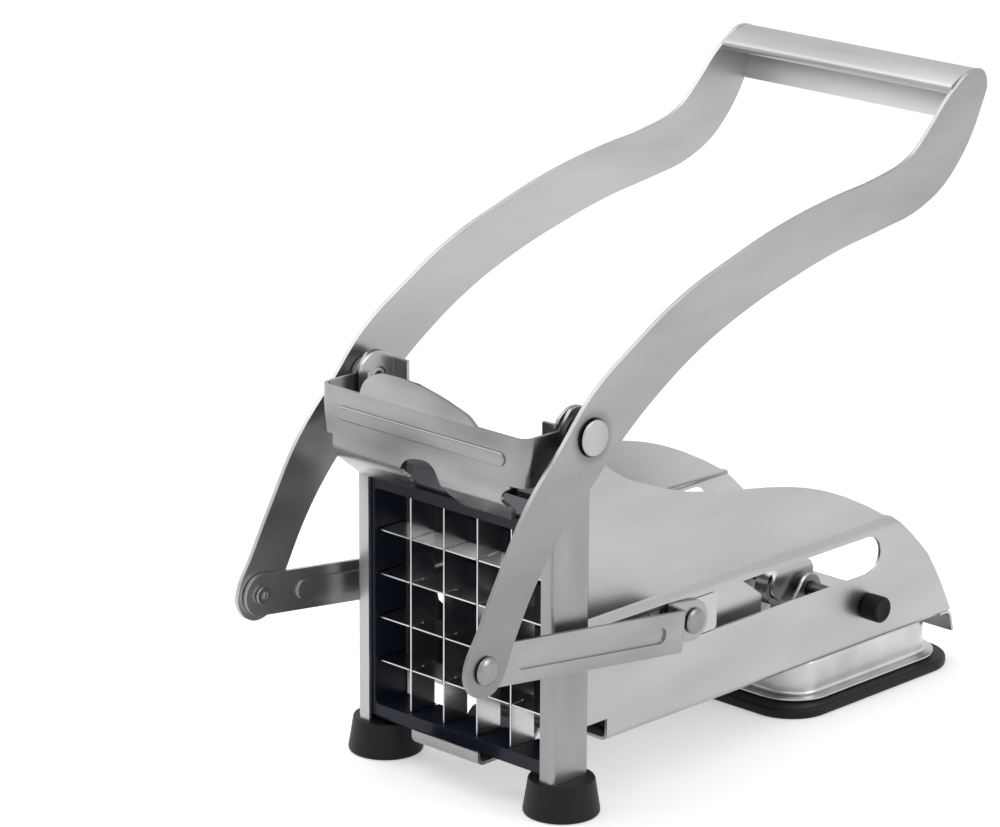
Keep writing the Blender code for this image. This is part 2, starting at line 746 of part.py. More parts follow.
def make_trough():
    """The bent sheet channel: joggled walls, curved crest, pusher slots, axle holes and a rear lip."""
    joggle_top = joggle_height + joggle_rise
    half = [
        (lower_half_width, trough_floor), (lower_half_width, joggle_height),
        (upper_half_width, joggle_top), (upper_half_width, wall_front_top),
    ]
    radii = [trough_bend, joggle_rise / 2, joggle_rise / 2, 0]
    left_half = [(-x, z) for x, z in reversed(half)]
    path = rounded(left_half + half, list(reversed(radii)) + radii)
    trough = sheet("trough", path, "front", trough_front, trough_rear, trough_sheet)

    crest_rise = wall_front_top - trough_floor
    crest = [(trough_front + along * trough_length, trough_floor + up * crest_rise) for along, up in crest_shares]
    high = wall_front_top + overrun
    crest = [(trough_front - overrun, high), (trough_front - overrun, wall_front_top)] + crest
    crest += [(trough_rear + overrun, trough_floor), (trough_rear + overrun, high)]
    span = lower_half_width + overrun
    crest_cutter = plate("crest", [crest], "side", -span, span, guides)

    notch_outline = box_outline((trough_front - overrun, trough_front + notch_depth),
                                (trough_floor - overrun, trough_floor + notch_height))
    notch = plate("front_notch", [notch_outline], "side", -span, span, guides)
    round_end = slot_width / 2
    slot_outline = stadium((slot_front + round_end, slot_height), (slot_rear - round_end, slot_height), round_end)
    slot = plate("pusher_slot", [slot_outline], "side", -span, span, guides)
    axle_hole = drill("axle_hole", axle, axle_radius + gap, "side", -span, span)
    cut(trough, crest_cutter, notch, slot, axle_hole, stem_hole("trough_stem_hole"), *rivet_holes("trough"))

    lip_level = trough_floor + lap_relief
    lip_path = rounded([(trough_rear - 2 * trough_bend, lip_level), (trough_rear, lip_level),
                        (trough_rear + lip_slant, trough_floor - lip_drop)], trough_bend)
    lip = sheet("rear_lip", lip_path, "side", -lip_half_width, lip_half_width, trough_sheet - 2 * lap_relief,
                "left", guides)
    lip_room = box_outline((trough_rear - trough_bend, trough_rear + overrun),
                           (trough_floor - overrun, floor_top + overrun))
    room_half = lip_half_width - trough_sheet
    room = plate("lip_room", [lip_room], "side", -room_half, room_half, guides)
    cut(trough, room)
    join(trough, lip)
    return finish(trough, "steel")


def stem_hole(name):
    return drill(name, (0, axle_place), stem_radius + gap, "top", 0, floor_top + 2 * bracket_sheet)


def rivet_places():
    return [(side * pan_rivet_side, y) for y in (pan_rivet_front, pan_rivet_rear) for side in (1, -1)]


def rivet_holes(owner):
    """Holes for the rivets that hold the pan under the trough."""
    radius = pan_rivet_shank + gap
    return [drill(f"{owner}_rivet_hole", place, radius, "top", trough_floor - overrun, floor_top)
            for place in rivet_places()]


def make_front_rest():
    """The strip from under the trough that carries the grid and curls up before it."""
    high = trough_floor - gap
    low = grid_bottom - gap
    front = post_front - rest_front_gap - rest_sheet
    points = [
        (rest_tail, high), (rest_step, high), (rest_step - rest_run, low), (front, low),
        (front, grid_bottom + rest_curl_height),
    ]
    path = rounded(points, [0, rest_curl, rest_curl, rest_curl, 0])
    rest = sheet("front_rest", path, "side", -rest_half_width, rest_half_width, rest_sheet, "left")
    return finish(rest, "steel")


def make_pivots():
    """Flat-headed rivets that carry the arms and the clamp's ears, and the spacers between these."""
    inner_end = post_outer - post_sheet
    bottom = inner_end + post_sheet
    head_base = arm_half_span + gap
    head_top = head_base + pivot_head_height
    bevel = pivot_head_height / 3
    profile = [
        (0, head_top), (pivot_head - bevel, head_top), (pivot_head, head_top - bevel), (pivot_head, head_base),
        (pivot_shank, head_base), (pivot_shank, inner_end), (pivot_bore, inner_end), (pivot_bore, bottom), (0, bottom),
    ]
    rivet = turned("pivot_profile", profile, side_point(pivot, 0), steps=turned_steps)
    right = finish(to_mesh(rivet, "right_pivot_rivet"), "bright_steel")
    low, high = clamp_half_width + gap, arm_inner - gap
    ring = [(pivot_shank + gap, high), (spacer_radius, high), (spacer_radius, low), (pivot_shank + gap, low)]
    spacer = turned("spacer_profile", ring, side_point(pivot, 0), steps=turned_steps, closed=True)
    spacer = finish(to_mesh(spacer, "right_pivot_spacer"), "bright_steel")
    return [right, finish(mirrored(right, "left_pivot_rivet"), "bright_steel"), spacer,
            finish(mirrored(spacer, "left_pivot_spacer"), "bright_steel")]


# Lever

def crank_point(along, across):
    """A point of the lower arm, in shares of the crank along it and towards the front."""
    direction = (arm_rivet - pivot).normalized()
    forward = Vector((direction.y, -direction.x))
    return pivot + crank_length * (direction * along + forward * across)


def arm_outline():
    """Both edges of the arm, set off from its centre line, with a round lower end and the grip's section."""
    middles = [crank_point(*share) for share in lower_arm_shares]
    middles += [pivot + Vector((handle_reach * back, handle_rise * up)) for back, up in upper_arm_shares]
    widths = [arm_width * share for share in lower_width_shares + upper_width_shares]
    front_edge, rear_edge = [], []
    ahead_of = middles[1:] + [grip_middle]
    behind = [arm_rivet] + middles[:-1]
    for before, middle, after, width in zip(behind, middles, ahead_of, widths):
        heading = (after - before).normalized()
        across = Vector((-heading.y, heading.x)) * width / 2
        front_edge.append(middle + across)
        rear_edge.append(middle - across)
    head = [grip_middle + grip_size * Vector(share) for share in head_shares]
    direction = (middles[0] - arm_rivet).normalized()
    facing = math.atan2(direction.y, direction.x)
    turns = [facing + math.radians(degrees) for degrees in (112, 146, 180, 214, 248)]
    end = [arm_rivet + arm_end * Vector((math.cos(turn), math.sin(turn))) for turn in turns]
    return front_edge + head + list(reversed(rear_edge)) + list(reversed(end))


def make_arms():
    """Two curved sheet arms with their lower rivets."""
    arm = plate("right_arm_blank", [arm_outline()], "side", arm_inner, arm_half_span, smooth=4)
    pivot_hole = drill("arm_pivot_hole", pivot, pivot_shank + gap, "side", arm_inner, arm_half_span)
    rivet_hole = drill("arm_rivet_hole", arm_rivet, joint_shank + gap, "side", arm_inner, arm_half_span)
    cut(arm, pivot_hole, rivet_hole)
    right = finish(to_mesh(arm, "right_arm"), "steel")
    head_base = arm_half_span + gap
    profile = domed_head(joint_head, joint_head_height, head_base, joint_shank)
    profile += [(joint_shank, arm_inner), (0, arm_inner)]
    rivet = turned("arm_rivet_profile", profile, side_point(arm_rivet, 0))
    rivet = finish(to_mesh(rivet, "right_arm_rivet"), "bright_steel")
    return [right, finish(mirrored(right, "left_arm"), "steel"), rivet,
            finish(mirrored(rivet, "left_arm_rivet"), "bright_steel")]


def make_grip():
    """The rolled sheet handle between the arms, open towards the front and below."""
    points = [grip_middle + grip_size * Vector(share) for share in [grip_hem_share] + head_shares + [grip_heel_share]]
    radii = [0, grip_hem_round, grip_top_round, grip_top_round, grip_size, 0]
    path = rounded(points, radii)
    end = arm_inner - grip_end_gap
    return finish(sheet("grip", path, "side", -end, end, grip_sheet, "right"), "steel")


# Links

def link_place(along, across):
    """A point of the side view in the link's own directions, from the pusher's rivet towards the arm's."""
    heading = (arm_rivet - pusher_rivet).normalized()
    return pusher_rivet + heading * along + Vector((heading.y, -heading.x)) * across


def make_links():
    """Links with a step that brings the tongue in to the trough wall, and an embossed rib."""
    reach = link_length + link_width
    tongue_outer = tongue_inner + link_sheet
    step_end = link_shoulder - link_sheet
    plan = [
        (-link_width, tongue_outer), (step_end, tongue_outer), (link_shoulder, link_outer), (reach, link_outer),
    ]
    link = sheet("link_blank", rounded(plan, link_bend), "top", -link_width, link_width, link_sheet, "right")
    back, up = (arm_rivet - pusher_rivet).normalized()
    turn = Matrix(((0, 1, 0), (back, 0, up), (up, 0, -back))).to_4x4()
    link.matrix_world = Matrix.Translation(side_point(pusher_rivet, 0)) @ turn
    link = to_mesh(link, "right_link")
    outline = stadium(pusher_rivet, arm_rivet, link_width / 2, turned_steps)
    inside, outside = tongue_inner - overrun, link_outer + overrun
    shape = plate("link_shape", [outline], "side", inside, outside, guides)
    boolean(link, shape, "INTERSECT")
    rib_ends = [link_place(link_length - rib_start - length, 0) for length in (0, rib_length)]
    rib_outline = stadium(*rib_ends, rib_width / 2)
    rib = plate("link_rib", [rib_outline], "side", link_inner - rib_height, link_inner + link_sheet / 2, guides)
    dent_outline = stadium(*rib_ends, rib_width / 2 - rib_height)
    dent = plate("link_dent", [dent_outline], "side", link_outer - rib_height, link_outer + overrun, guides)
    join(link, rib)
    arm_hole = drill("link_arm_hole", arm_rivet, joint_shank + gap, "side", link_inner, link_outer)
    pusher_hole = drill("link_pusher_hole", pusher_rivet, joint_shank + gap, "side", tongue_inner, link_inner)
    cut(link, dent, arm_hole, pusher_hole)
    right = finish(to_mesh(link, "right_link"), "steel")
    top = link_outer
    head_top = link_inner - gap
    bottom = head_top - eyelet_height
    profile = [
        (0, top), (joint_shank, top), (joint_shank, head_top), (eyelet_radius, head_top), (eyelet_radius, bottom),
        (eyelet_bore, bottom), (eyelet_bore, link_inner), (0, link_inner),
    ]
    collar = turned("collar_profile", profile, side_point(arm_rivet, 0))
    collar = finish(to_mesh(collar, "right_link_collar"), "bright_steel")
    left = finish(mirrored(right, "left_link"), "steel")
    left_collar = finish(mirrored(collar, "left_link_collar"), "bright_steel")
    return [right, collar], [left, left_collar]


# Clamp

def clamp_heights(y):
    """Bottom and top of the clamp's side, which narrows to a round ear about the pivot."""
    fall = min(max((clamp_front + clamp_bend - y) / (clamp_front + clamp_bend), 0), 1)
    ease = fall * fall * (3 - 2 * fall)
    round_half = math.sqrt(max(clamp_ear ** 2 - max(y, 0) ** 2, 0))
    before = math.sqrt(max(clamp_ear ** 2 - y ** 2, 0))
    low = clamp_bottom + (pivot_height - clamp_ear - clamp_bottom) * ease
    if y > 0:
        low = pivot_height - round_half
    high = max(clamp_top, pivot_height + before) if y < 0 else pivot_height + round_half
    return low, high


def clamp_band():
    """The clamp's open surface: ears, sides and front as one strip, with the apron drawn out from its edge."""
    ear_turns = [math.radians(degrees) for degrees in (10, 30, 50, 70, 90)]
    ear = [clamp_ear * math.cos(turn) for turn in ear_turns]
    ear += [-clamp_ear * math.sin(turn) / 2 for turn in ear_turns[1:3]] + [-clamp_ear]
    corners = [(clamp_half_width, ear[0]), (clamp_half_width, clamp_front), (apron_half_width, clamp_front)]
    bend = rounded(corners, [0, clamp_bend, 0])[1:]
    half = [Vector((clamp_half_width, y)) for y in ear] + bend
    twin = [Vector((-point.x, point.y)) for point in reversed(half)]
    bm = bmesh.new()
    lower, upper = [], []
    for point in half + twin:
        low, high = clamp_heights(point.y)
        lower.append(bm.verts.new((point.x, point.y, low)))
        upper.append(bm.verts.new((point.x, point.y, high)))
    edges = [bm.edges.new(pair) for row in (lower, upper) for pair in zip(row, row[1:])]
    bmesh.ops.bridge_loops(bm, edges=edges)
    edge = bm.edges.get((lower[len(half) - 1], lower[len(half)]))
    fold = [(clamp_front, clamp_bottom), (clamp_front, fold_level), (apron_rear - clamp_sheet, hook_level)]
    profile = rounded(fold, apron_bend)
    for before, after in zip(profile, profile[1:]):
        drawn = bmesh.ops.extrude_edge_only(bm, edges=[edge])["geom"]
        moved = [item for item in drawn if isinstance(item, bmesh.types.BMVert)]
        bmesh.ops.translate(bm, vec=(0, after.x - before.x, after.y - before.y), verts=moved)
        edge = bm.edges.get(moved)
    bmesh.ops.recalc_face_normals(bm, faces=bm.faces)
    bm.normal_update()
    front_face = min(bm.faces, key=lambda face: face.calc_center_median().y)
    if front_face.normal.y > 0:
        bmesh.ops.reverse_faces(bm, faces=bm.faces)
    return thicken(link_mesh("clamp_plate", bm), clamp_sheet, -1)


def make_clamp():
    """The hinged plate that holds the grid down, with hooks, an embossed rib and a thumb tab."""
    clamp = clamp_band()
    tab_width = tab_right - tab_left
    tab_base = clamp_top - clamp_sheet
    leaf_path = [(clamp_front + lap_relief, tab_base - clamp_sheet), (clamp_front + lap_relief, clamp_top),
                 (clamp_front + tab_reach, clamp_top + tab_rise)]
    leaf = sheet("thumb_tab", leaf_path, "side", tab_left - tab_bulge, tab_right, clamp_sheet - 2 * lap_relief,
                 "right", guides)
    edge = [(tab_left + tab_width * across, clamp_top + tab_rise * up) for across, up in tab_shares]
    outline = plate("tab_outline", [edge], "front", clamp_front - overrun, clamp_front + 2 * tab_reach, guides,
                    smooth=3)
    boolean(leaf, outline, "INTERSECT")
    rib_radius = clamp_rib_height / 2
    rib_ends = [(side * (clamp_rib_half - rib_radius), clamp_rib_level) for side in (-1, 1)]
    rib = plate("clamp_rib", [stadium(*rib_ends, rib_radius)], "front", clamp_front - clamp_rib_depth,
                clamp_front + clamp_sheet / 2, guides)
    join(clamp, leaf, rib)
    for tip in hook_tips:
        outline = [(tip + hook_width * across, hook_level + hook_height * up) for across, up in hook_shares]
        cut(clamp, plate("hook_notch", [outline], "front", clamp_front - overrun, 0, guides, smooth=3))
    span = clamp_half_width + overrun
    cut(clamp, drill("clamp_pivot_hole", pivot, pivot_shank + gap, "side", -span, span))
    return finish(clamp, "steel")


# Pusher

def make_block():
    """The plastic block with one stud for each cell of the grid."""
    half_height = grid_opening / 2 - post_slack - 2 * gap
    low, high = grid_middle - half_height, grid_middle + half_height
    outline = box_outline((-block_half_width, block_half_width), (low, high), grid_corner)
    block = plate("pusher_block", [outline], "front", block_face, block_rear)
    stud_half = (grid_pitch - blade_sheet) / 2 - stud_gap
    lines = [(cell - (grid_cells - 1) / 2) * grid_pitch for cell in range(grid_cells)]
    bm = bmesh.new()
    for x in lines:
        for z in lines:
            made = bmesh.ops.create_cone(bm, cap_ends=True, segments=4, radius1=stud_half * math.sqrt(2),
                                         radius2=stud_half * math.sqrt(2) * stud_draft_share,
                                         depth=stud_height + block_recess)
            bmesh.ops.rotate(bm, cent=(0, 0, 0), matrix=Matrix.Rotation(math.pi / 4, 3, "Z"), verts=made["verts"])
            bmesh.ops.rotate(bm, cent=(0, 0, 0), matrix=Matrix.Rotation(math.pi / 2, 3, "X"), verts=made["verts"])
            middle = stud_face + (stud_height + block_recess) / 2
            bmesh.ops.translate(bm, vec=(x, middle, grid_middle + z), verts=made["verts"])
    join(block, link_mesh("studs", bm, guides))
    for number, x in enumerate((block_screw_spread, -block_screw_spread)):
        hole = drill(f"block_screw_bore_{number}", (x, grid_middle), block_screw_shank + gap, "front",
                     block_rear - block_screw_length + overrun, block_rear)
        cut(block, hole)
    return finish(block, "dark_plastic")


def make_carriage():
    """The bent sheet behind the block, whose sides run back to the slots."""
    plan = [(carriage_half_width, carriage_rear), (carriage_half_width, carriage_front),
            (-carriage_half_width, carriage_front), (-carriage_half_width, carriage_rear)]
    low = grid_bottom + grid_rim + carriage_front_margin
    high = grid_top - grid_rim - carriage_front_margin
    carriage = sheet("carriage", rounded(plan, carriage_bend), "top", low, high, carriage_sheet, "right")
    neck = carriage_front + carriage_neck
    side_edge = [
        (neck, low - overrun), (neck, carriage_side_bottom), (carriage_rear + overrun, carriage_side_bottom),
        (carriage_rear + overrun, low - overrun),
    ]
    top_edge = [
        (neck, high + overrun), (neck, carriage_side_top), (carriage_rear - carriage_slope, carriage_side_top),
        (carriage_rear, carriage_rear_top), (carriage_rear + overrun, carriage_rear_top),
        (carriage_rear + overrun, high + overrun),
    ]
    span = carriage_half_width + overrun
    cut(carriage, plate("carriage_under", [side_edge], "side", -span, span, guides))
    cut(carriage, plate("carriage_over", [top_edge], "side", -span, span, guides))
    cut(carriage, drill("carriage_rivet_hole", pusher_rivet, joint_shank + gap, "side", -span, span))
    for number, x in enumerate((block_screw_spread, -block_screw_spread)):
        hole = drill(f"carriage_screw_hole_{number}", (x, grid_middle), block_screw_shank + gap, "front",
                     carriage_front, carriage_front + carriage_sheet)
        cut(carriage, hole)
    return finish(carriage, "steel")


def make_shoes():
    """Shoes that fill the slots and bear on the wall's inner side."""
    inner = carriage_half_width + gap
    wall_inner = lower_half_width - trough_sheet - gap
    reach = (pusher_rivet.x - shoe_front, pusher_rivet.x + shoe_rear)
    half = slot_width / 2 - gap
    outline = box_outline(reach, (slot_height - half, slot_height + half), shoe_corner)
    shoe = plate("shoe_blank", [outline], "side", inner, lower_half_width)
    wide = half + shoe_flange
    back = box_outline(reach, (slot_height - wide, slot_height + wide), shoe_corner)
    join(shoe, plate("shoe_back", [back], "side", inner - lap_relief, wall_inner, guides))
    cut(shoe, drill("shoe_hole", pusher_rivet, joint_shank + gap, "side", inner, lower_half_width))
    right = finish(to_mesh(shoe, "right_shoe"), "steel")
    head_base = tongue_inner + link_sheet + gap
    tail = carriage_half_width - carriage_sheet - gap
    end = tail - pusher_tail_height
    profile = domed_head(pusher_head, pusher_head_height, head_base, joint_shank)
    profile += [(joint_shank, tail), (pusher_head, tail), (pusher_head, end), (0, end)]
    rivet = turned("pusher_rivet_profile", profile, side_point(pusher_rivet, 0))
    rivet = finish(to_mesh(rivet, "right_pusher_rivet"), "bright_steel")
    return [right, finish(mirrored(right, "left_shoe"), "steel"), rivet,
            finish(mirrored(rivet, "left_pusher_rivet"), "bright_steel")]


def make_block_screws():
    """Screws from the carriage's front into the block."""
    base = carriage_front + carriage_sheet + gap
    tip = block_rear - block_screw_length + gap
    top = base + block_screw_head_height
    bevel = block_screw_head_height / 3
    profile = [
        (0, top), (block_screw_head - bevel, top), (block_screw_head, top - bevel), (block_screw_head, base),
        (block_screw_shank, base), (block_screw_shank, tip), (0, tip),
    ]
    made = []
    for number, x in enumerate((block_screw_spread, -block_screw_spread), start=1):
        screw = turned(f"block_screw_{number}", profile, (x, 0, grid_middle), "y", small_steps)
        made.append(finish(screw, "bright_steel"))
    return made


# Suction foot

def rounded_box_ring(half_width, front, rear, radius):
    return box_outline((-half_width, half_width), (front, rear), radius)


def ring_shell(name, rings, levels, role=parts, close_first=False, close_last=False):
    """An open surface through rings of points at their levels, first to last."""
    bm = bmesh.new()
    loops = []
    for ring, level in zip(rings, levels):
        corners = [bm.verts.new((point[0], point[1], level)) for point in ring]
        loops.append([bm.edges.new((corners[index - 1], corners[index])) for index in range(len(corners))])
    for lower, upper in zip(loops, loops[1:]):
        bmesh.ops.bridge_loops(bm, edges=lower + upper)
    for wanted, loop in ((close_first, loops[0]), (close_last, loops[-1])):
        if wanted:
            bmesh.ops.holes_fill(bm, edges=loop, sides=len(loop))
    bmesh.ops.recalc_face_normals(bm, faces=bm.faces)
    return link_mesh(name, bm, role)


def make_pan():
    """The drawn pan under the trough, open below, with a flange that holds the pad."""
    top = trough_floor - gap
    low = pad_height + gap + pan_sheet
    flange_half = pan_half_width + pan_flange
    rings = [
        rounded_box_ring(flange_half, pan_front - pan_flange, pan_rear + pan_flange, pan_corner + pan_flange),
        rounded_box_ring(pan_half_width, pan_front, pan_rear, pan_corner),
        rounded_box_ring(pan_half_width, pan_front, pan_rear, pan_corner),
        rounded_box_ring(pan_half_width - pan_top_round, pan_front + pan_top_round, pan_rear - pan_top_round,
                         pan_corner - pan_top_round),
    ]
    shell = ring_shell("suction_pan", rings, (low, low, top - pan_top_round, top), close_last=True)
    thicken(shell, pan_sheet, -1)
    cut(shell, stem_hole("pan_stem_hole"), *rivet_holes("pan"))
    return finish(shell, "steel")


def make_pad():
    """The rubber pad: it rests on a band round its edge, and its middle is hollow and open for the membrane."""
    half = pan_half_width + pan_flange + pad_margin
    slim = pad_round / 2
    rings, levels = [], []
    for inset, level in ((pad_round, pad_height), (0, pad_height - pad_round), (0, slim), (slim, 0)):
        rings.append(rounded_box_ring(half - inset, pad_front + inset, pad_rear - inset, pad_corner - inset))
        levels.append(level)
    pad = ring_shell("suction_pad", rings, levels, close_first=True, close_last=True)
    hollow_half = half - pad_band
    hollow_outline = rounded_box_ring(hollow_half, pad_front + pad_band, pad_rear - pad_band, pad_corner - pad_band)
    hollow = plate("pad_hollow", [hollow_outline], "top", -overrun, pad_relief, guides)
    window = plate("pad_window", [circle((0, axle_place), membrane_radius + gap, turned_steps)], "top",
                   -overrun, pad_height + overrun, guides)
    cut(pad, hollow, window)
    return finish(pad, "rubber")


def make_pan_rivets():
    """Rivets through the trough's floor and the pan's top."""
    head_base = floor_top + gap
    head_top = head_base + pan_rivet_head_height
    tail_top = trough_floor - 2 * gap - pan_sheet
    tail = tail_top - pan_rivet_head_height
    bevel = pan_rivet_head_height / 3
    profile = [
        (0, head_top), (pan_rivet_head - bevel, head_top), (pan_rivet_head, head_top - bevel),
        (pan_rivet_head, head_base), (pan_rivet_shank, head_base), (pan_rivet_shank, tail_top),
        (pan_rivet_head, tail_top), (pan_rivet_head, tail), (0, tail),
    ]
    made = []
    for number, (x, y) in enumerate(rivet_places(), start=1):
        rivet = turned(f"pan_rivet_{number}", profile, (x, y, 0), "z", small_steps)
        made.append(finish(rivet, "bright_steel"))
    return made


def make_bracket():
    """The bent bracket on the floor whose ears carry the suction axle."""
    low = floor_top + gap
    width = bracket_half_width
    path = rounded([(-width, axle_height + bracket_ear), (-width, low), (width, low),
                    (width, axle_height + bracket_ear)], 2 * bracket_sheet)
    bracket = sheet("cam_bracket", path, "front", bracket_front, bracket_rear, bracket_sheet)
    base = low + 3 * bracket_sheet
    ear_outline = [(bracket_front, low - overrun), (bracket_front, base)]
    ear_outline += [axle + bracket_ear * Vector((math.cos(turn), math.sin(turn)))
                    for turn in (math.radians(degrees) for degrees in (160, 130, 100, 70, 40, 10))]
    ear_outline += [(bracket_rear, base), (bracket_rear, low - overrun)]
    shape = plate("bracket_shape", [ear_outline], "side", -width - overrun, width + overrun, guides)
    boolean(bracket, shape, "INTERSECT")
    cut(bracket, drill("bracket_axle_hole", axle, axle_radius + gap, "side", -width, width),
        stem_hole("bracket_stem_hole"))
    return finish(bracket, "steel")


def make_cam():
    """The suction axle with its eccentric, the knobs on its ends and the short lever fixed to it."""
    wall = lower_half_width + gap
    shaft = [(0, wall), (axle_radius, wall), (axle_radius, -wall), (0, -wall)]
    rod = turned("axle_profile", shaft, side_point(axle, 0))
    rod = to_mesh(rod, "cam_axle")
    start_turn = -suction_turn / 2
    centre = axle + eccentric_offset * Vector((-math.cos(start_turn), math.sin(start_turn)))
    disc = plate("eccentric", [circle(centre, eccentric_radius, turned_steps)], "side",
                 -eccentric_half_width, eccentric_half_width, guides)
    join(rod, disc)
    finish(rod, "rubber")
    low, high = wall + gap, wall + gap + knob_length
    profile = [
        (0, high), (knob_radius - knob_round, high), (knob_radius, high - knob_round), (knob_radius, low), (0, low),
    ]
    knob = turned("knob_profile", profile, side_point(axle, 0))
    knob = finish(to_mesh(knob, "right_knob"), "rubber")
    left_knob = finish(mirrored(knob, "left_knob"), "rubber")
    top = axle_height + cam_heel + cam_top_gap
    bottom = axle_height - cam_heel
    path = rounded([(-cam_half_width, bottom), (-cam_half_width, top), (cam_half_width, top),
                    (cam_half_width, bottom)], 2 * cam_sheet)
    lever = sheet("cam_lever", path, "front", axle_place - cam_length, axle_place + cam_heel, cam_sheet, "right")
    nose = axle + Vector((cam_nose - cam_length, cam_top_gap))
    shape_points = [(axle.x + cam_heel, axle.y - cam_heel / 2), (axle.x + cam_heel, top + overrun),
                    (nose.x, top + overrun)]
    shape_points += [nose + cam_nose * Vector((-math.cos(turn), math.sin(turn)))
                     for turn in (math.radians(degrees) for degrees in (75, 45, 15, -15, -45, -75))]
    shape_points += [(axle.x, bottom), (axle.x + cam_heel / 2, bottom)]
    shape = plate("cam_shape", [shape_points], "side", -2 * cam_half_width, 2 * cam_half_width, guides)
    boolean(lever, shape, "INTERSECT")
    cut(lever, drill("cam_axle_hole", axle, axle_radius + gap, "side", -cam_half_width, cam_half_width))
    window_half = yoke_half_width + 2 * gap
    window_outline = box_outline((-window_half, window_half),
                                 (axle_place - eccentric_radius - yoke_wall - yoke_slack - eccentric_offset - gap,
                                  axle_place + cam_length))
    cut(lever, plate("cam_window", [window_outline], "top", axle_height, top + overrun, guides))
    return [rod, knob, left_knob, finish(lever, "steel")]


def make_stud():
    """The yoke round the eccentric, its stem down through the floor, and the membrane that it draws up."""
    start_turn = -suction_turn / 2
    eccentric_height = axle_height + eccentric_offset * math.sin(start_turn)
    inner = eccentric_radius + gap
    swing = eccentric_offset * math.cos(start_turn)
    place = axle_place
    inner_ends = ((place - swing - yoke_slack, eccentric_height), (place - swing + yoke_slack, eccentric_height))
    outer_ends = ((place - swing - yoke_slack, eccentric_height), (place + yoke_slack, eccentric_height))
    window = stadium(*inner_ends, inner, turned_steps)
    rim = stadium(*outer_ends, inner + yoke_wall, turned_steps)
    yoke = plate("membrane_stud", [rim, window], "side", -yoke_half_width, yoke_half_width)
    stem_top = eccentric_height - inner - yoke_wall / 2
    stem_bottom = pad_relief + membrane_height + gap
    foot = 2 * stem_radius
    profile = [
        (0, stem_top), (stem_radius, stem_top), (stem_radius, stem_bottom + membrane_height),
        (foot, stem_bottom + membrane_height), (foot, stem_bottom), (0, stem_bottom),
    ]
    stem = turned("stem", profile, (0, place, 0), "z", small_steps, role=guides)
    join(yoke, stem)
    finish(yoke, "bright_steel")
    bottom = pad_relief
    disc_profile = [
        (0, bottom + membrane_height), (membrane_radius, bottom + membrane_height), (membrane_radius, bottom),
        (0, bottom),
    ]
    membrane = turned("suction_membrane", disc_profile, (0, place, 0), "z")
    return [yoke, finish(membrane, "rubber")]


# Assembly

def joint_empty(name, place, parent=None):
    empty = bpy.data.objects.new(name, None)
    empty.empty_display_size = arm_end
    empty.location = place
    empty.parent = parent
    parts.objects.link(empty)
    return empty


def carry(empty, pieces):
    """Parents pieces to an empty on their joint's axis, and leaves them where they are."""
    for piece in pieces:
        piece.parent = empty
        piece.matrix_parent_inverse = Matrix.Translation(-Vector(empty.location))


def assemble():
    """Builds every piece and hangs it on its body's empty."""
    origin = joint_empty("machine_origin", (0, 0, 0))
    right_link, left_link = make_links()
    bodies = {
        "base_frame": ((0, 0, 0), make_posts() + make_feet() + [make_trough(), make_front_rest()] + make_pivots()
                       + [make_pan(), make_pad(), make_bracket()] + make_pan_rivets()),
        "lever_axis": (side_point(pivot, 0), make_arms() + [make_grip()]),
        "clamp_axis": (side_point(pivot, 0), [make_clamp()]),
        "grid_slide": ((0, grid_front, grid_bottom), make_grid()),
        "pusher_slide": (side_point(pusher_rivet, 0),
                         [make_block(), make_carriage()] + make_shoes() + make_block_screws()),
        "right_link_axis": (side_point(pusher_rivet, tongue_inner), right_link),
        "left_link_axis": (side_point(pusher_rivet, -tongue_inner), left_link),
        "suction_axis": (side_point(axle, 0), make_cam()),
        "membrane_slide": ((0, axle_place, 0), make_stud()),
    }
    for name, (place, pieces) in bodies.items():
        carry(joint_empty(name, place, origin), pieces)
    carry(origin, list(guides.objects))
    origin.location = (0, -machine_middle, 0)


assemble()
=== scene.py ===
"""Looks of the french fry cutter: its dressed pieces, their materials, the floor, the lamps and the camera.

Metres, in the frame's own coordinates: the grid faces -Y, the handle leans back over +Y, +Z is up.
"""

import math

import bmesh
import bpy
from mathutils import Matrix, Vector


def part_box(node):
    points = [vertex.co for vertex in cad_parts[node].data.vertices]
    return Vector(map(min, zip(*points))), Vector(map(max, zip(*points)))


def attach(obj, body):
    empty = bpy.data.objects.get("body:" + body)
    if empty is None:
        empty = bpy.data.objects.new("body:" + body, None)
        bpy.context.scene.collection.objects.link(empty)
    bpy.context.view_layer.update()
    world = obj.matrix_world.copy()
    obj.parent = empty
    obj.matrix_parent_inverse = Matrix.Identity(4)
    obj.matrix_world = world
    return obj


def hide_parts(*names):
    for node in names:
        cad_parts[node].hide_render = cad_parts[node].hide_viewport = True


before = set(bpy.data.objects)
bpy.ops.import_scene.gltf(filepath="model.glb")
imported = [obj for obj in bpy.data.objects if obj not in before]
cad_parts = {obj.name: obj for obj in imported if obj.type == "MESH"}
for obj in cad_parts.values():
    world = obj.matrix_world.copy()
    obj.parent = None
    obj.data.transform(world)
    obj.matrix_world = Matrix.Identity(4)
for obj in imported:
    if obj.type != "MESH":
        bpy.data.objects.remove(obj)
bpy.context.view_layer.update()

mm = 0.001
weld_distance = 0.002 * mm
smooth_angle = math.radians(32.0)
bevel_steps = 2
turned_steps = 72
corner_steps = 12
grain_depth = 0.0025 * mm
longest_rung = 2.4 * mm       # sheet edges shorter than this cross the sheet's thickness
rung_percent = 40.0           # of an outline edge that a rounded corner takes at each end
longest_step = 2.5            # of the longer to the shorter outline edge beside a corner on a curve


# Shader maths

